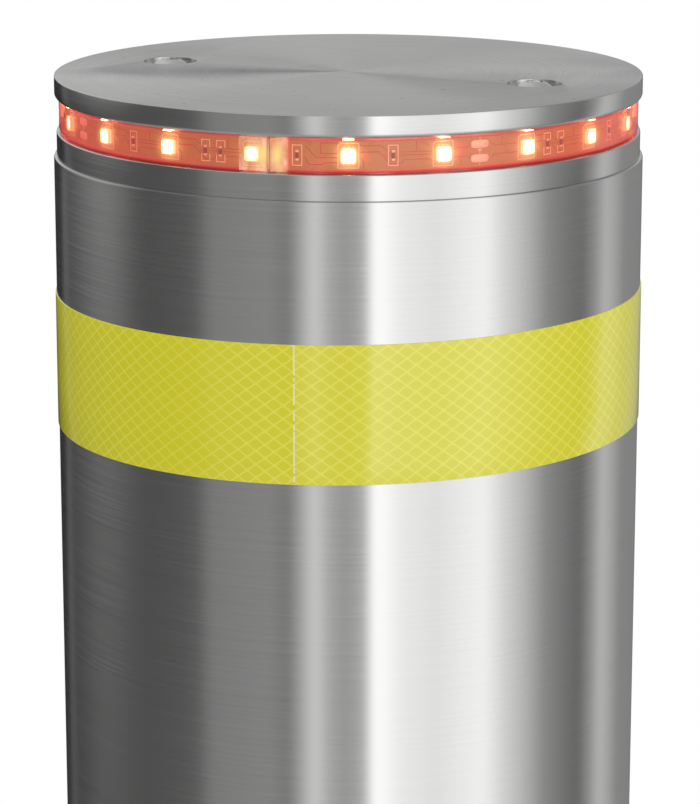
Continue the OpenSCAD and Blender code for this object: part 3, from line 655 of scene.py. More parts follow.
def repeat(piece, name, places):
    """Copies of a flat piece along the strip, joined, with the pattern itself thrown away."""
    parts = [copy_to(piece, f"{name}_{i}", x, 0) for i, x in enumerate(places)]
    bpy.data.objects.remove(piece)
    return join(name, parts)


def two_rows(piece, name, places, apart):
    """A row of copies above the strip's middle and one below it."""
    upper = copy_to(piece, name + "_upper", 0, 0, apart)
    lower = copy_to(piece, name + "_lower", 0, 0, -apart)
    bpy.data.objects.remove(piece)
    return join(name, [repeat(upper, "upper", places), repeat(lower, "lower", places)])


def wrap(piece, gap, smooth=35):
    """Bend a flat piece round the board, this many millimetres off its face."""
    bend_round(piece, BOARD_R + gap * MM, STRIP_MID)
    outward(piece)
    return settle(piece, smooth)

# %% [markdown]
# ## The strip's board
# A flexible board carries the diodes. It is a polyimide film, amber and a little shiny, and
# the copper under it shows as faint lines. Light from each diode pools on the film round
# it, so the finish glows with the distance to the nearest diode: the angle round the axis
# is cut into equal steps, and the distance falls off from the middle of each.

# %% Board
def near_led(tree, place, wide=1.0, tall=1.0):
    """Millimetres from the nearest diode's middle, along the strip and up, each scaled."""
    _, _, share, height = polar(tree, place)
    steps = maths(tree, "MULTIPLY_ADD", share, LED_COUNT, 0.5)
    along = maths(tree, "SUBTRACT", maths(tree, "FRACT", steps), 0.5)
    along = maths(tree, "MULTIPLY", along, PITCH / MM * wide)
    up = maths(tree, "MULTIPLY_ADD", height, tall / MM, -STRIP_MID / MM * tall)
    return along, up


def pool(tree, along, up, reach):
    """1 at the diode and falling off like light through a soft film."""
    squares = maths(tree, "ADD", maths(tree, "POWER", along, 2),
                    maths(tree, "POWER", up, 2))
    return maths(tree, "EXPONENT", maths(tree, "MULTIPLY", squares, -1 / reach ** 2))


film, tree, shader, place = finish(
    "amber film", (0.34, 0.22, 0.08), (0.40, 0.26, 0.10), roughness=0.3, wander=0.1,
    scale=(260, 260, 260), bump=0.05, coat=0.3)
along, up = near_led(tree, place)
close = pool(tree, along, up, 4.0)
glow(tree, shader, mix(tree, close, (0.14, 0.10, 0.018, 1), (1.2, 0.80, 0.32, 1)), 0.62)
FILM_TALL = 10 * MM
board = flat_sheet("led_board_film", SLEEVE_START * BOARD_R + 0.4 * MM,
                   (JOINT + 2 * pi) * BOARD_R - 2.6 * MM, FILM_TALL, 360, 2)
thicken(board, 0.28 * MM, -1)
wrap(board, 0)
stands_for(board, "bollard", "amber_board", film, "led_board")

# %% [markdown]
# ## The circuit on the board
# The copper lines, the white print and the solder are laid on the film as thin ribbons.
# Each pattern is drawn once round one diode from straight runs with cut corners, and
# repeated at the diode pitch before the whole circuit is bent. The kinds of gap between two
# diodes take turns: one resistor, a pair of solder pads where the strip can be cut, or two
# resistors.

# %% Circuit ribbons
INK = 0.03 * MM


def ribbons(name, paths, width):
    """Thin flat lines along paths of (x, z) in millimetres round a diode."""
    parts = []
    for path in paths:
        for (x0, z0), (x1, z1) in zip(path, path[1:]):
            length = math.hypot(x1 - x0, z1 - z0)
            deselect()
            bpy.ops.mesh.primitive_grid_add(
                x_subdivisions=max(1, round(length / 1.6)), y_subdivisions=1, size=1,
                location=((x0 + x1) / 2 * MM, 0, (z0 + z1) / 2 * MM),
                rotation=(pi / 2, -math.atan2(z1 - z0, x1 - x0), 0))
            parts.append(bpy.context.object)
            parts[-1].scale = ((length + width) * MM, width * MM, 1)
            settle(parts[-1], smooth=0)
    return join(name, parts)


RIGHT_RUNS = [
    [(3.7, 4.1), (4.8, 3.4), (11.1, 3.4), (14.4, 0.7)],
    [(3.7, 1.2), (10.4, 1.3), (14.5, -3.0), (18.1, -3.0), (19.1, -1.6), (28.0, -1.6), (28.8, -2.2)],
    [(12.4, -0.2), (15.4, 0.0)], [(17.4, 0.0), (28.9, 0.0)],
    [(17.4, 1.05), (29.0, 1.05)], [(23.6, 1.05), (23.6, 4.7)],
    [(3.7, -0.5), (5.1, -1.9), (5.1, -4.3)]]
LEFT_RUNS = [
    [(-3.7, 0.8), (-9.5, 0.8), (-9.5, 4.4), (-3.7, 4.4)],
    [(-3.7, -0.7), (-11.0, -0.7), (-14.8, 3.4)],
    [(-3.7, -2.6), (-4.2, -2.4), (-8.0, -2.4), (-9.1, -3.1), (-13.6, -3.1), (-14.6, -1.2), (-15.3, -0.7)]]
PAD_RUNS = [[(3.7, 1.6), (9.0, 1.6), (10.4, 2.6)], [(3.7, -1.4), (8.6, -1.4), (10.4, -2.5)],
            [(6.6, -4.7), (6.6, -2.2)], [(18.4, 2.6), (19.8, 1.6), (29.0, 1.6)],
            [(18.4, -2.6), (19.6, -1.4), (29.0, -1.4)], [(22.4, 1.6), (22.4, 4.6)]]
KINDS = "SDPSDPSDPSDPSDPSDSP"  # S one resistor, D solder pads, P a pair of resistors


def gaps(kinds):
    return [i * PITCH for i, kind in enumerate(KINDS) if kind in kinds]


runs = [repeat(ribbons("runs_right", RIGHT_RUNS, 0.26), "right", gaps("SP")),
        repeat(ribbons("runs_pads", PAD_RUNS, 0.26), "pads", gaps("D")),
        ribbons("left_of_first", LEFT_RUNS, 0.26)]
traces = join("led_board_traces", runs)
thicken(traces, INK)
wrap(traces, 0.02)
copper, tree, shader, place = finish(
    "film over copper", (0.30, 0.06, 0.03), (0.38, 0.09, 0.04), roughness=0.35, wander=0.1,
    scale=(300, 300, 300), bump=0.05)
# The copper lines glow a dim red at a fixed strength: painted light from the diodes, since they are no
# lamp.
glow(tree, shader, (0.22, 0.035, 0.02, 1), 0.5)
stands_for(traces, "bollard", "amber_board", copper)

# %% [markdown]
# ## White print, solder and resistors
# The print is a frame round every diode with one cut corner, and brackets round each
# resistor. The pads are beads of solder: an oval is bevelled from a flat plate, and its
# middle is inset and raised. A resistor is a small ceramic chip with a tinned end on each
# side, bisected into three so that the ends take their own finish.

# %% Print, pads and resistors
FRAME = [[(-2.7, 4.25), (3.6, 4.25), (3.6, -4.25), (-3.6, -4.25), (-3.6, 3.4), (-2.7, 4.25)]]
BOX = [[(-1.65, 3.5), (1.65, 3.5), (1.65, -3.5), (-1.65, -3.5), (-1.65, 3.5)]]
BRACKET = [[(-1.6, 1.3), (-1.6, 3.7), (1.6, 3.7), (1.6, 1.3)],
           [(-1.6, -1.3), (-1.6, -3.7), (1.6, -3.7), (1.6, -1.3)]]
CUT = [[(0, 4.8), (0, -4.8)], [(-0.9, 0.7), (0, 0.0), (0.9, 0.7)]]
DEGREE = PITCH / 18
PAD_AT = 7.5 * DEGREE
SINGLE_AT = 8.4 * DEGREE
singles = [x + SINGLE_AT for x in gaps("S")] + [-9.6 * DEGREE]
pairs = [x + turn * DEGREE for x in gaps("P")[:-1] for turn in (5.3, 9.0)]
pairs += [gaps("P")[-1] + turn * DEGREE for turn in (8.2, 11.4)]
leds = [i * PITCH for i in range(LED_COUNT)]
printed = join("led_board_print", [
    repeat(ribbons("frame", FRAME, 0.24), "frames", leds),
    repeat(ribbons("box", BOX, 0.24), "boxes", singles),
    repeat(ribbons("bracket", BRACKET, 0.24), "brackets", pairs),
    repeat(ribbons("cut", CUT, 0.2), "cuts", [x + PAD_AT for x in gaps("D")])])
thicken(printed, INK)
wrap(printed, 0.03)
white_print, tree, shader, place = finish(
    "white board print", (0.80, 0.70, 0.62), (0.88, 0.80, 0.72), roughness=0.6, wander=0.1,
    scale=(500, 500, 500), bump=0.05)
# The print glows a warm pink at a fixed strength: painted light from the diodes, since it is no lamp.
glow(tree, shader, (0.85, 0.50, 0.36, 1), 0.35)
stands_for(printed, "bollard", "amber_board", white_print)


def chip(name, width, height, depth, corner, lift=0.0):
    """A small flat part on the board in millimetres, with bevelled corners and a raised middle."""
    deselect()
    bpy.ops.mesh.primitive_plane_add(size=1, rotation=(pi / 2, 0, 0))
    piece = newest(name)
    piece.scale = (width * MM, height * MM, 1)
    settle(piece, smooth=0)
    edit(piece)
    everything()
    bpy.ops.mesh.bevel(offset=corner * MM, segments=4, affect="VERTICES")
    everything()
    bpy.ops.mesh.extrude_region_move(TRANSFORM_OT_translate={"value": (0, -depth * MM, 0)})
    bpy.ops.mesh.inset(thickness=min(width, height) * 0.22 * MM, depth=lift * MM)
    leave()
    return piece


pads = two_rows(chip("pad", 6.8, 2.7, 0.12, 1.3, 0.25), "solder_pads",
                [x + PAD_AT for x in gaps("D")], 2.5 * MM)
wrap(pads, 0.04, 50)
solder, tree, shader, place = finish(
    "tinned copper", (0.62, 0.50, 0.40), (0.74, 0.62, 0.50), metallic=0.6, roughness=0.35,
    wander=0.2, scale=(400, 400, 400), bump=0.3)
# Solder glows a warm orange at a fixed strength: painted light from the diodes, since it is no lamp. The
# same finish goes on the resistors' ends and the diodes' legs.
glow(tree, shader, (0.80, 0.42, 0.26, 1), 0.45)
stands_for(pads, "bollard", "led_white", solder)

resistor = chip("resistor", 1.05, 3.6, 0.45, 0.12, 0.05)
TINNED_FROM = 1.05 * MM
edit(resistor)
for cut in (-TINNED_FROM, TINNED_FROM):
    everything()
    bpy.ops.mesh.bisect(plane_co=(0, 0, cut), plane_no=(0, 0, 1))
leave()
resistors = repeat(resistor, "resistors", singles + pairs)
ceramic = finish("resistor ceramic", (0.10, 0.07, 0.08), (0.16, 0.11, 0.12), roughness=0.45,
                 scale=(600, 600, 600))[0]
two_finishes(resistors, ceramic, solder, lambda face: abs(face.center.z) > TINNED_FROM)
wrap(resistors, 0.04, 40)
stands_for(resistors, "bollard", "led_white", None)

# %% [markdown]
# ## The diodes
# Each diode is a 5 mm square package, white, with three tinned legs above and below and a
# round well full of phosphor in its face. The package is bevelled from a plate, and its
# face is inset into the well. The phosphor's light falls off from the middle of the well,
# so its centre reads as white and its rim as amber, and the package round it glows a little.

# %% Diodes
FRONT_AREA = 4e-6  # in square metres: the well's floor is larger, and the rim's faces are smaller
package = chip("package", 5.0, 5.0, 1.45, 0.5)
edit(package, "FACE")
pick(package, lambda place, item: place.y < -1.4 * MM and item.area > FRONT_AREA, "polygons")
bpy.ops.mesh.inset(thickness=0.02 * MM, depth=-0.25 * MM)
leave()
legs = two_rows(chip("leg", 0.9, 1.0, 0.35, 0.15), "legs", (-1.6 * MM, 0, 1.6 * MM), 2.75 * MM)
package_white, tree, shader, place = finish(
    "lit diode package", (0.85, 0.82, 0.72), (0.90, 0.88, 0.80), roughness=0.4, scale=(500, 500, 500))
glow(tree, shader, (1.0, 0.72, 0.30, 1), 1.1)
phosphor, tree, shader, place = finish(
    "lit phosphor", (0.95, 0.85, 0.45), (1.0, 0.92, 0.6), roughness=0.5, scale=(900, 900, 900))
along, up = near_led(tree, place)
core = pool(tree, along, up, 1.7)
glow(tree, shader, mix(tree, core, (0.16, 0.115, 0.045, 1), (1.0, 0.94, 0.74, 1)), 9.0)
two_finishes(package, package_white, phosphor,
             lambda face: face.center.y < -1.15 * MM and face.area > FRONT_AREA)
legs.data.materials.append(solder)
diodes = repeat(package, "led_packages_lit", leds)
leg_rows = repeat(legs, "led_legs", leds)
for piece in (diodes, leg_rows):
    wrap(piece, 0.05, 40)
stands_for(diodes, "bollard", "led_white", None, "led_packages")
stands_for(leg_rows, "bollard", "led_white", None)

# %% [markdown]
# ## The silicone sleeve
# The strip sits in a soft red sleeve, a flat tube with round corners. One short slice is
# extruded from its outline, an Array repeats the slice to the full length, a Displace with a
# cloud texture gives the lips their slight wave, and Solidify makes the wall. The silicone
# is mostly clear: it tints what is behind it, more so where the eye meets it at a slant.

# %% Sleeve shape
SLEEVE_DEEP = 3 * MM
SLEEVE_ROUND = 1.1 * MM
SLEEVE_TALL = sleeve_high.z - sleeve_low.z
ripple = bpy.data.textures.new("soft ripple", "CLOUDS")
ripple.noise_scale = 0.014
crumple = bpy.data.textures.new("crumple", "CLOUDS")
crumple.noise_scale = 0.0022
crumple.noise_depth = 3


def soft_tube(name, start, end, slice_length, texture, wave, wall):
    """A soft flat tube bent round the head from one angle to another, open at its ends."""
    deselect()
    bpy.ops.mesh.primitive_plane_add(size=1, rotation=(0, pi / 2, 0),
                                     location=(start * SLEEVE_R, SLEEVE_DEEP / 2, 0))
    piece = newest(name)
    piece.scale = (SLEEVE_TALL, SLEEVE_DEEP, 1)
    settle(piece, smooth=0)
    edit(piece)
    everything()
    bpy.ops.mesh.bevel(offset=SLEEVE_ROUND, segments=5, affect="VERTICES")
    everything()
    bpy.ops.mesh.subdivide(number_cuts=2)
    everything()
    bpy.ops.mesh.delete(type="ONLY_FACE")
    bpy.ops.mesh.select_mode(type="EDGE")
    everything()
    slices = round((end - start) * SLEEVE_R / slice_length)
    step = (end - start) * SLEEVE_R / slices
    bpy.ops.mesh.extrude_edges_move(TRANSFORM_OT_translate={"value": (step, 0, 0)})
    leave()
    modify(piece, "ARRAY", count=slices, use_relative_offset=False, use_constant_offset=True,
           constant_offset_displace=(step, 0, 0), use_merge_vertices=True,
           merge_threshold=0.01 * MM)
    outward(piece)
    modify(piece, "DISPLACE", texture=texture, texture_coords="LOCAL", strength=wave, mid_level=0.62)
    thicken(piece, wall, -1)
    bend_round(piece, SLEEVE_R, STRIP_MID)
    return settle(piece, 60)


sleeve = soft_tube("led_sleeve_soft", SLEEVE_START, SLEEVE_END, 2 * MM, ripple, 0.7 * MM, 0.55 * MM)
print("sleeve", len(sleeve.data.polygons), "faces")

# %% [markdown]
# The silicone's shader mixes three simple ones. A Transparent shader carries the tint, a
# Glossy shader the shine of its skin by Fresnel, and an Emission the red light that travels
# inside it, which is painted glow, as the silicone is no lamp. A painted pool of pale light
# lies round each diode, and above each diode the lip pipes a short painted bar of pale light.
# The lower lip is painted darker, as shade along the bottom edge, where the thick silicone
# also takes a deeper tint. The skin shines on its outside only, because a Fresnel seen from
# inside a closed shell turns into a mirror. The cloudy sort is for the sealant at the ends,
# with a painted pool of diode light on each side of a split.

# %% Sleeve finish
FACE_ON = 0.3  # how much of the silicone's painted glow is seen straight on
LIP_LOW = 0.7  # all three in millimetres
LIP_HIGH = 0.34
BAR_HALF = 1.9


def silicone(name, clear, deep, glow_colour, glow_strength, cloud=0.0, bars=False):
    material = bpy.data.materials.new(name)
    material.use_nodes = True
    tree = material.node_tree
    tree.nodes.clear()
    place = tree.nodes.new("ShaderNodeTexCoord").outputs["Object"]
    slant = tree.nodes.new("ShaderNodeLayerWeight")
    put(slant, Blend=0.42)
    tint = tree.nodes.new("ShaderNodeBsdfTransparent")
    through = mix(tree, slant.outputs["Facing"], (*clear, 1), (*deep, 1))
    light = tree.nodes.new("ShaderNodeEmission")
    put(light, Strength=glow_strength)
    face_on = [FACE_ON * channel for channel in glow_colour]
    colour = mix(tree, slant.outputs["Facing"], (*face_on, 1), (*glow_colour, 1))
    if bars:
        along, up = near_led(tree, place)
        # A painted pool of pale light round each diode, its glow seen through the silicone.
        halo = pool(tree, along, up, 3.0)
        colour = mix(tree, halo, colour, (0.42, 0.22, 0.09, 1))
        # The lower lip is painted darker: a deep red glow as painted shade along the bottom edge, and a
        # deeper tint where the silicone is thickest.
        lip = maths(tree, "LESS_THAN", up, LIP_LOW - SLEEVE_TALL / 2 / MM)
        colour = mix(tree, lip, colour, (0.17, 0.022, 0.020, 1))
        through = mix(tree, lip, through, (0.82, 0.36, 0.33, 1))
        beside = maths(tree, "LESS_THAN", maths(tree, "ABSOLUTE", along), BAR_HALF)
        at_top = maths(tree, "GREATER_THAN", up, SLEEVE_TALL / 2 / MM - LIP_HIGH)
        bar = maths(tree, "MULTIPLY", beside, at_top)
        colour = mix(tree, bar, colour, (8.0, 5.6, 2.6, 1))
    tree.links.new(through, tint.inputs["Color"])
    tree.links.new(colour, light.inputs["Color"])
    both = tree.nodes.new("ShaderNodeAddShader")
    tree.links.new(tint.outputs[0], both.inputs[0])
    tree.links.new(light.outputs[0], both.inputs[1])
    body = both.outputs[0]
    if cloud:
        # The sealant's clouds glow at a fixed strength. This is painted light from the diode inside, with a
        # painted pool of warm light on each side of the split.
        milky_glow = tree.nodes.new("ShaderNodeEmission")
        milk_glow = grain(tree, place, (330, 330, 200), 4.0, spread=(0.35, 0.62))
        milk_glow = mix(tree, milk_glow, (0.50, 0.09, 0.08, 1), (0.86, 0.50, 0.46, 1))
        along, up = near_led(tree, place, tall=0.45)
        light_spots = [pool(tree, maths(tree, "SUBTRACT", along, middle), up, 2.1)
                 for middle in (3.7, 8.9)]
        light_spot = maths(tree, "ADD", *light_spots)
        milk_glow = mix(tree, light_spot, milk_glow, (0.98, 0.74, 0.25, 1))
        split = pool(tree, maths(tree, "SUBTRACT", along, 5.8), 0.0, 0.55)
        milk_glow = mix(tree, split, milk_glow, (0.42, 0.035, 0.03, 1))
        tree.links.new(milk_glow, milky_glow.inputs["Color"])
        veil = tree.nodes.new("ShaderNodeMixShader")
        edge = maths(tree, "MULTIPLY_ADD", slant.outputs["Facing"], 0.5, cloud)
        edge = maths(tree, "MULTIPLY_ADD", maths(tree, "MAXIMUM", light_spot, split), 0.5, edge)
        tree.links.new(edge, veil.inputs[0])
        tree.links.new(body, veil.inputs[1])
        tree.links.new(milky_glow.outputs[0], veil.inputs[2])
        body = veil.outputs[0]
    shine = tree.nodes.new("ShaderNodeBsdfGlossy")
    put(shine, Roughness=0.12)
    skin = tree.nodes.new("ShaderNodeFresnel")
    put(skin, IOR=1.41)
    inner = tree.nodes.new("ShaderNodeNewGeometry").outputs["Backfacing"]
    outer = maths(tree, "SUBTRACT", 1.0, inner)
    top = tree.nodes.new("ShaderNodeMixShader")
    wire(tree, maths(tree, "MULTIPLY", skin.outputs[0], outer), top.inputs[0])
    tree.links.new(body, top.inputs[1])
    tree.links.new(shine.outputs[0], top.inputs[2])
    tree.links.new(top.outputs[0], tree.nodes.new("ShaderNodeOutputMaterial").inputs["Surface"])
    return material


red_silicone = silicone("red silicone", (0.97, 0.88, 0.84), (0.80, 0.42, 0.40),
                        (0.30, 0.062, 0.056), 1.0, bars=True)
stands_for(sleeve, "bollard", "red_silicone", red_silicone, "led_sleeve")

# %% [markdown]
# ## The sleeve's ends
# The two ends meet left of the middle, each closed with a cap of clear sealant that was
# squeezed on by hand. It is crumpled, so a finer cloud texture pushes it about, and its
# clouds catch the light of the diode inside. A thin dark split is left between them.

# %% End caps
sealant = (0.6 * MM, crumple, 0.8 * MM, 0.4 * MM)  # slice, texture, wave and wall
left_end = soft_tube("sleeve_end_left", JOINT - HALF_SPLIT - 10.3 * MM / SLEEVE_R,
                     JOINT - HALF_SPLIT, *sealant)
right_end = soft_tube("sleeve_end_right", JOINT + HALF_SPLIT,
                      JOINT + HALF_SPLIT + 5.9 * MM / SLEEVE_R, *sealant)
clear_silicone = silicone("clear silicone", (1.0, 0.93, 0.86), (0.95, 0.60, 0.50),
                          (0.50, 0.26, 0.12), 0.9, cloud=0.22)
stands_for(left_end, "bollard", "clear_silicone", clear_silicone, "sleeve_end_caps")
stands_for(right_end, "bollard", "clear_silicone", clear_silicone)

# %% [markdown]
# ## The reflective tape
# The tape is a 50 mm prismatic film, 0.4 mm thick, wrapped once round the tube and cut at
# its seam. It was put on by hand, a touch lower on the left. Its face is sealed in cells,
# and the seal lines show paler. The lattice is arithmetic on the distance round the tube
# and the height: two sets of slanting lines, with the cells' corners rounded.

# %% Tape
def lean(piece, slope, height, reach):
    """Slide one side of a piece up and the other down in a cage, so that it keeps its radius."""
    deselect()
    bpy.ops.object.add(type="LATTICE", location=(0, 0, height))
    cage = bpy.context.object
    cage.scale = (2 * reach, 2 * reach, 2 * reach)
    for way in ("u", "v", "w"):
        setattr(cage.data, f"interpolation_type_{way}", "KEY_LINEAR")
    for point in cage.data.points:
        point.co_deform.z += slope * point.co.x
    bpy.context.view_layer.update()
    modify(piece, "LATTICE", object=cage)
    bpy.data.objects.remove(cage)


band_low, band_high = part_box("reflective_band")
TAPE_R = band_high.x
TAPE_MID = (band_low.z + band_high.z) / 2
TAPE_TALL = band_high.z - band_low.z
SEAM = radians(-9.9)
HALF_SEAM = 0.1 * MM / TAPE_R
LEAN = 0.012
tape = flat_sheet("reflective_tape", (SEAM + HALF_SEAM) * TAPE_R, (SEAM - HALF_SEAM + 2 * pi) * TAPE_R,
                  TAPE_TALL, 256, 3)
thicken(tape, 0.38 * MM, -1)
edit(tape, "EDGE")
pick(tape, lambda place, item: abs(abs(place.z) - TAPE_TALL / 2) < 0.01 * MM and place.y < 0.01 * MM,
     "edges")
bpy.ops.mesh.bevel(offset=0.16 * MM, segments=2, affect="EDGES")
leave()
bend_round(tape, TAPE_R, TAPE_MID)
lean(tape, LEAN, TAPE_MID, 0.13)
outward(tape)
settle(tape, 40)
CELL_WIDE = 6.65  # both in millimetres
CELL_TALL = 4.82
CORNER = 7  # the higher this power, the squarer the cells' corners
yellow, tree, shader, place = finish(
    "prismatic yellow film", (0.60, 0.57, 0.045), (0.63, 0.60, 0.055), roughness=0.22,
    wander=0.06, scale=(60, 60, 60), bump=0.02, coat=1.0, specular=0.1)
put(shader, Coat_Roughness=0.05, Coat_IOR=1.7)
_, _, share, height = polar(tree, place)
u = maths(tree, "MULTIPLY", share, 2 * pi * TAPE_R / MM / CELL_WIDE)
v = maths(tree, "MULTIPLY", height, 1 / MM / CELL_TALL)
inside = []
for kind in ("ADD", "SUBTRACT"):
    lane = maths(tree, "FRACT", maths(tree, kind, u, v))
    lane = maths(tree, "ABSOLUTE", maths(tree, "SUBTRACT", lane, 0.5))
    inside.append(maths(tree, "POWER", lane, CORNER))
edge = maths(tree, "POWER", maths(tree, "ADD", *inside), 1 / CORNER)
seal = rising(tree, edge, 0.395, 0.45)
fade = grain(tree, place, (9, 9, 2), 1.0, spread=(0.34, 0.55))
lattice = maths(tree, "MULTIPLY", seal, maths(tree, "MULTIPLY_ADD", fade, 0.7, 0.3))
cells = mix(tree, lattice, (0.585, 0.555, 0.022, 1), (0.66, 0.63, 0.060, 1))
off_seam = maths(tree, "ABSOLUTE", maths(tree, "SUBTRACT", share, 0.5 + SEAM / 2 / pi))
on_seam = maths(tree, "LESS_THAN", off_seam, 0.24 * MM / TAPE_R / 2 / pi)
broken = grain(tree, place, (1, 1, 420), 2.0, spread=(0.40, 0.44))
seam_line = maths(tree, "MULTIPLY", on_seam, broken)
face_colour = mix(tree, seam_line, cells, (0.86, 0.84, 0.62, 1))
# The film glows at a fixed strength in its own face colour, and its lit colour is halved: the film's
# fluorescence, painted as a fixed glow.
wire(tree, mix(tree, 0.5, face_colour, (0, 0, 0, 1)), shader.inputs["Base Color"])
glow(tree, shader, face_colour, 0.71)
# Only the tape's lower edge takes this paler finish; its upper edge stays yellow.
pale_lower_edge = finish("pale lower tape edge", (0.55, 0.52, 0.34), (0.70, 0.66, 0.48), roughness=0.3,
                   scale=(300, 300, 300))[0]
two_finishes(tape, yellow, pale_lower_edge, lambda face: face.center.z < TAPE_MID
             and math.hypot(face.normal.x, face.normal.y) < 0.9)
stands_for(tape, "bollard", "yellow_tape", None, "reflective_band")

# %% [markdown]
# ## Finishes for the parts below ground
# The frame's own nodes keep their shapes and only take finishes. Each is what a maker would
# ask for by name: galvanising shows a spangle of zinc crystals, a zinc primer is matt and
# speckled, hot-rolled bar has blue-grey mill scale broken by rust, and enamel has a faint
# orange peel.

# %% Metal finishes
machined = finish("machined steel", (0.40, 0.40, 0.41), (0.50, 0.50, 0.51), metallic=1, roughness=0.30,
                  wander=0.14, scale=(25, 25, 900), bump=0.12, bump_scale=(40, 40, 2500), depth=0.03)[0]
primer = finish("zinc primer", (0.36, 0.37, 0.38), (0.45, 0.46, 0.465), metallic=0.25, roughness=0.62,
                wander=0.14, scale=(90, 90, 90), bump=0.25, bump_scale=(900, 900, 900), depth=0.06)[0]
ground = finish("ground bearing steel", (0.60, 0.60, 0.61), (0.68, 0.68, 0.69), metallic=1, roughness=0.14,
                wander=0.06, scale=(60, 60, 1200), bump=0.03, depth=0.01)[0]
bronze = finish("turned bronze", (0.44, 0.26, 0.10), (0.56, 0.36, 0.16), metallic=1, roughness=0.32,
                wander=0.12, scale=(30, 30, 1100), bump=0.1, depth=0.03)[0]
nickel = finish("nickelled brass", (0.55, 0.53, 0.46), (0.66, 0.64, 0.56), metallic=1, roughness=0.26,
                wander=0.1, scale=(200, 200, 900), bump=0.08, depth=0.02)[0]

galvanised, tree, shader, place = finish(
    "galvanised steel", (0.46, 0.48, 0.49), (0.54, 0.56, 0.57), metallic=0.85, roughness=0.44,
    wander=0.16, scale=(12, 12, 12), bump=0.15, bump_scale=(260, 260, 260), depth=0.08)
crystals = tree.nodes.new("ShaderNodeTexVoronoi")
put(crystals, Scale=95)
tree.links.new(place, crystals.inputs["Vector"])
tone = tree.nodes.new("ShaderNodeRGBToBW")
tree.links.new(crystals.outputs["Color"], tone.inputs[0])
drift = grain(tree, place, (12, 12, 12))
spangle = maths(tree, "MULTIPLY_ADD", tone.outputs[0], 0.6, maths(tree, "MULTIPLY", drift, 0.4))
zinc = mix(tree, spangle, (0.40, 0.42, 0.435, 1), (0.62, 0.635, 0.64, 1))
wire(tree, zinc, shader.inputs["Base Color"])
wire(tree, maths(tree, "MULTIPLY_ADD", tone.outputs[0], 0.22, 0.34), shader.inputs["Roughness"])

rusty, tree, shader, place = finish(
    "scaled bar", (0.10, 0.10, 0.11), (0.15, 0.14, 0.145), metallic=0.5, roughness=0.6,
    wander=0.2, scale=(60, 60, 60), bump=0.5, bump_scale=(400, 400, 400), depth=0.15)
rust = grain(tree, place, (70, 70, 45), 6.0, 0.7, spread=(0.42, 0.58))
shade = grain(tree, place, (500, 500, 500), 3.0)
orange = mix(tree, shade, (0.20, 0.075, 0.03, 1), (0.34, 0.14, 0.055, 1))
scale_tone = mix(tree, shade, (0.085, 0.088, 0.10, 1), (0.14, 0.14, 0.15, 1))
wire(tree, mix(tree, rust, scale_tone, orange), shader.inputs["Base Color"])
wire(tree, maths(tree, "MULTIPLY_ADD", rust, -0.5, 0.5), shader.inputs["Metallic"])
wire(tree, maths(tree, "MULTIPLY_ADD", rust, 0.35, 0.5), shader.inputs["Roughness"])


def enamel(name, base, other):
    return finish(name, base, other, roughness=0.34, wander=0.12, scale=(14, 14, 14), bump=0.12,
                  bump_scale=(420, 420, 420), depth=0.08, coat=0.25)[0]


motor_paint = enamel("dark grey enamel", (0.045, 0.050, 0.058), (0.062, 0.068, 0.078))
gearbox_paint = enamel("blue grey enamel", (0.22, 0.25, 0.28), (0.28, 0.31, 0.34))
housing_paint = enamel("blue enamel", (0.055, 0.14, 0.26), (0.075, 0.18, 0.32))
print("metal finishes ready")

# %% [markdown]
# Rubber, plastic and cast parts scatter light in a broad soft way. Rubber is dark with a
# dusty bloom, natural acetal is ivory and waxy, so a little light goes under its skin, and
# moulded plastic has a fine spark-eroded grain.

# %% Rubber and plastic finishes
rubber = finish("black rubber", (0.014, 0.014, 0.015), (0.032, 0.031, 0.030), roughness=0.62, wander=0.2,
                scale=(45, 45, 45), bump=0.3, bump_scale=(1100, 1100, 1100), depth=0.05)[0]
red_elastomer = finish("red elastomer", (0.42, 0.025, 0.02), (0.54, 0.045, 0.035), roughness=0.42,
                       wander=0.12, scale=(80, 80, 80), bump=0.15, depth=0.04)[0]
acetal, tree, shader, place = finish(
    "natural acetal", (0.74, 0.72, 0.64), (0.80, 0.785, 0.71), roughness=0.38, wander=0.12,
    scale=(40, 40, 600), bump=0.12, bump_scale=(60, 60, 1500), depth=0.03)
put(shader, Subsurface_Weight=0.15, Subsurface_Scale=2 * MM)
box_plastic = finish("light grey plastic", (0.50, 0.51, 0.51), (0.57, 0.58, 0.575), roughness=0.5,
                     wander=0.1, scale=(30, 30, 30), bump=0.3, bump_scale=(1500, 1500, 1500), depth=0.05)[0]
nylon = finish("black nylon", (0.028, 0.028, 0.030), (0.045, 0.045, 0.048), roughness=0.45, wander=0.12,
               scale=(90, 90, 90), bump=0.25, bump_scale=(1300, 1300, 1300), depth=0.04)[0]
FINISHES = {
    "turned_stainless": turned_face, "satin_stainless": brushed, "bright_stainless": bright,
    "machined_steel": machined, "zinc_steel": primer, "galvanised_steel": galvanised, "rusty_bar": rusty,
    "black_rubber": rubber, "acetal": acetal, "bronze": bronze, "motor_paint": motor_paint,
    "gearbox_paint": gearbox_paint, "housing_paint": housing_paint, "bearing_steel": ground,
    "red_elastomer": red_elastomer, "sensor_brass": nickel, "box_plastic": box_plastic,
    "gland_plastic": nylon}
slot_of = {part["node"]: part["material_slot"] for part in frame["record"]["subparts"]}
kept = [name for name in NODES if slot_of[name] in FINISHES]
for name in kept:
    for place_in_list in range(len(NODES[name].data.materials)):
        NODES[name].data.materials[place_in_list] = FINISHES[slot_of[name]]
print(len(kept), "nodes finished")

# %% [markdown]
# ## The cover frame
# The frame is the only part of the casing that stays in sight, flush with the paving. It is
# a square stainless plate with straight brushing, so the tube's round brushing would be
# wrong on it. The grain runs along x, and the anisotropy follows a radial tangent about Z
# only roughly, so this finish leaves it out and lets long noise do the work.

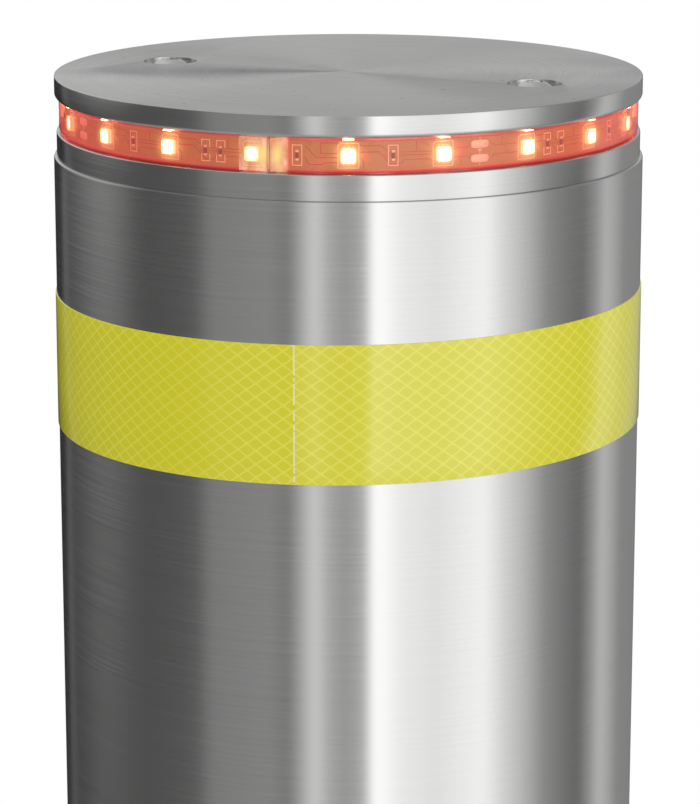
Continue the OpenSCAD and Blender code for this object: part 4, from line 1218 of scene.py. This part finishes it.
# %% Cover frame finish
plate = finish(
    "straight brushed stainless", (0.50, 0.50, 0.495), (0.60, 0.60, 0.592), metallic=1, roughness=0.34,
    wander=0.14, scale=(9, 1100, 1100), bump=0.15, bump_scale=(14, 2200, 2200), depth=0.03)[0]


def softened(node, body, material, width):
    """A copy of a CAD node with its triangles merged and its edges bevelled, which stands for it."""
    deselect()
    piece = NODES[node].copy()
    piece.data = NODES[node].data.copy()
    piece.parent = None
    bpy.context.scene.collection.objects.link(piece)
    for key in [key for key in piece.keys() if key.startswith("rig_")]:
        del piece[key]
    piece.name = piece.data.name = node + "_softened"
    edit(piece)
    bpy.ops.mesh.customdata_custom_splitnormals_clear()
    everything()
    bpy.ops.mesh.remove_doubles(threshold=0.002 * MM)
    everything()
    bpy.ops.mesh.dissolve_limited(angle_limit=radians(1))
    leave()
    modify(piece, "BEVEL", width=width, segments=2, limit_method="ANGLE", angle_limit=radians(40))
    settle(piece, 35)
    return stands_for(piece, body, slot_of[node], material, node)


softened("cover_frame", "casing", plate, 0.8 * MM)

# %% [markdown]
# The other plates and housings get the same treatment in one loop. A real edge is never a
# perfect corner, and the thin highlight along a broken edge is what makes a part look made.

# %% Softened plates and housings
SOFT = {"base_plate": 1.0, "casing_flange": 1.0, "flange_gussets": 0.8, "lower_flange": 0.8,
        "upper_stop_ring": 0.8, "lower_stop_ring": 0.8, "drive_plate": 0.8, "bearing_housing": 1.0,
        "motor": 1.2, "gearbox": 1.2, "junction_box": 1.5, "junction_box_lid": 1.0,
        "guide_rails": 0.6, "guide_housing": 0.6, "head_bridge": 0.6, "guide_shoes": 0.6}
body_of = {name: body for body, names in frame["record"]["behaviour"]["bodies"].items() for name in names}
for name, width in SOFT.items():
    softened(name, body_of[name], FINISHES[slot_of[name]], width * MM)

# %% [markdown]
# ## Weld beads
# The casing is a fabrication, so its tube is welded to the plates above and below. A bead
# is a ring with a rounded triangular section: a torus is added, the half inside the steel
# is flattened into it, and a cloud texture makes the bead a little uneven. Its ripples come
# from a bump that repeats with the angle, as each dab of the torch leaves one.

# %% Weld beads
ripple_steel, tree, shader, place = finish(
    "galvanised weld", (0.44, 0.455, 0.46), (0.53, 0.545, 0.55), metallic=0.85, roughness=0.42,
    wander=0.14, scale=(60, 60, 60), bump=0.3, bump_scale=(300, 300, 300), depth=0.1)
_, _, share, _ = polar(tree, place)
DABS = 240
wave = maths(tree, "SINE", maths(tree, "MULTIPLY", share, pi * DABS))
dabs = maths(tree, "ABSOLUTE", wave)
relief = tree.nodes.new("ShaderNodeBump")
put(relief, Strength=0.8, Distance=0.5 * MM)
tree.links.new(dabs, relief.inputs["Height"])
tree.links.new(relief.outputs[0], shader.inputs["Normal"])
uneven = bpy.data.textures.new("uneven bead", "CLOUDS")
uneven.noise_scale = 0.006


def weld_bead(name, radius, height, size, upwards):
    deselect()
    bpy.ops.mesh.primitive_torus_add(major_segments=360, minor_segments=12, major_radius=radius,
                                     minor_radius=size, location=(0, 0, height))
    bead = settle(newest(name), smooth=0)
    edit(bead)
    pick(bead, lambda place, item: (place.z - height) * upwards < -0.2 * size)
    bpy.ops.transform.resize(value=(1, 1, 0.2), center_override=(0, 0, height))
    leave()
    modify(bead, "DISPLACE", texture=uneven, texture_coords="LOCAL", strength=0.8 * MM)
    outward(bead)
    settle(bead, 60)
    return stands_for(bead, "casing", "galvanised_steel", ripple_steel)


casing_low, casing_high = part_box("casing_tube")
CASING_R = casing_high.x
flange_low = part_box("casing_flange")[0]
BEAD = 3.2 * MM
weld_bead("weld_base", CASING_R + 0.8 * MM, casing_low.z + 1.2 * MM, BEAD, 1)
weld_bead("weld_flange", CASING_R + 0.8 * MM, flange_low.z - 1.2 * MM, BEAD, -1)

# %% [markdown]
# ## The floor
# The post stands on a plain pale round floor. Its edge fades out, so that no horizon line
# crosses the picture.

# %% Floor
FLOOR_R = 3.2
FADE_FROM = 1.3
FADE_TO = 3.1
deselect()
bpy.ops.mesh.primitive_circle_add(vertices=128, radius=FLOOR_R, fill_type="NGON",
                                  location=(0, 0, -0.5 * MM))
floor = bpy.context.object
floor.name = "floor"
settle(floor, smooth=0)
pale, tree, shader, place = finish(
    "pale floor", (0.80, 0.80, 0.80), (0.83, 0.83, 0.825), roughness=0.7, wander=0.1,
    scale=(3, 3, 3), bump=0.02)
_, away, _, _ = polar(tree, place)
wire(tree, rising(tree, away, FADE_FROM, FADE_TO, 1.0, 0.0), shader.inputs["Alpha"])
floor.data.materials.append(pale)
print("floor ready")

# %% [markdown]
# ## The lamps, and the end
# The phosphor and the packages are the only lamps. Everything else that glows only looks
# bright, so it isn't sampled as a light, which keeps the render short.

# %% Only the lamps are sampled
for material in bpy.data.materials:
    if not material.name.startswith("lit "):
        material.cycles.emission_sampling = "NONE"
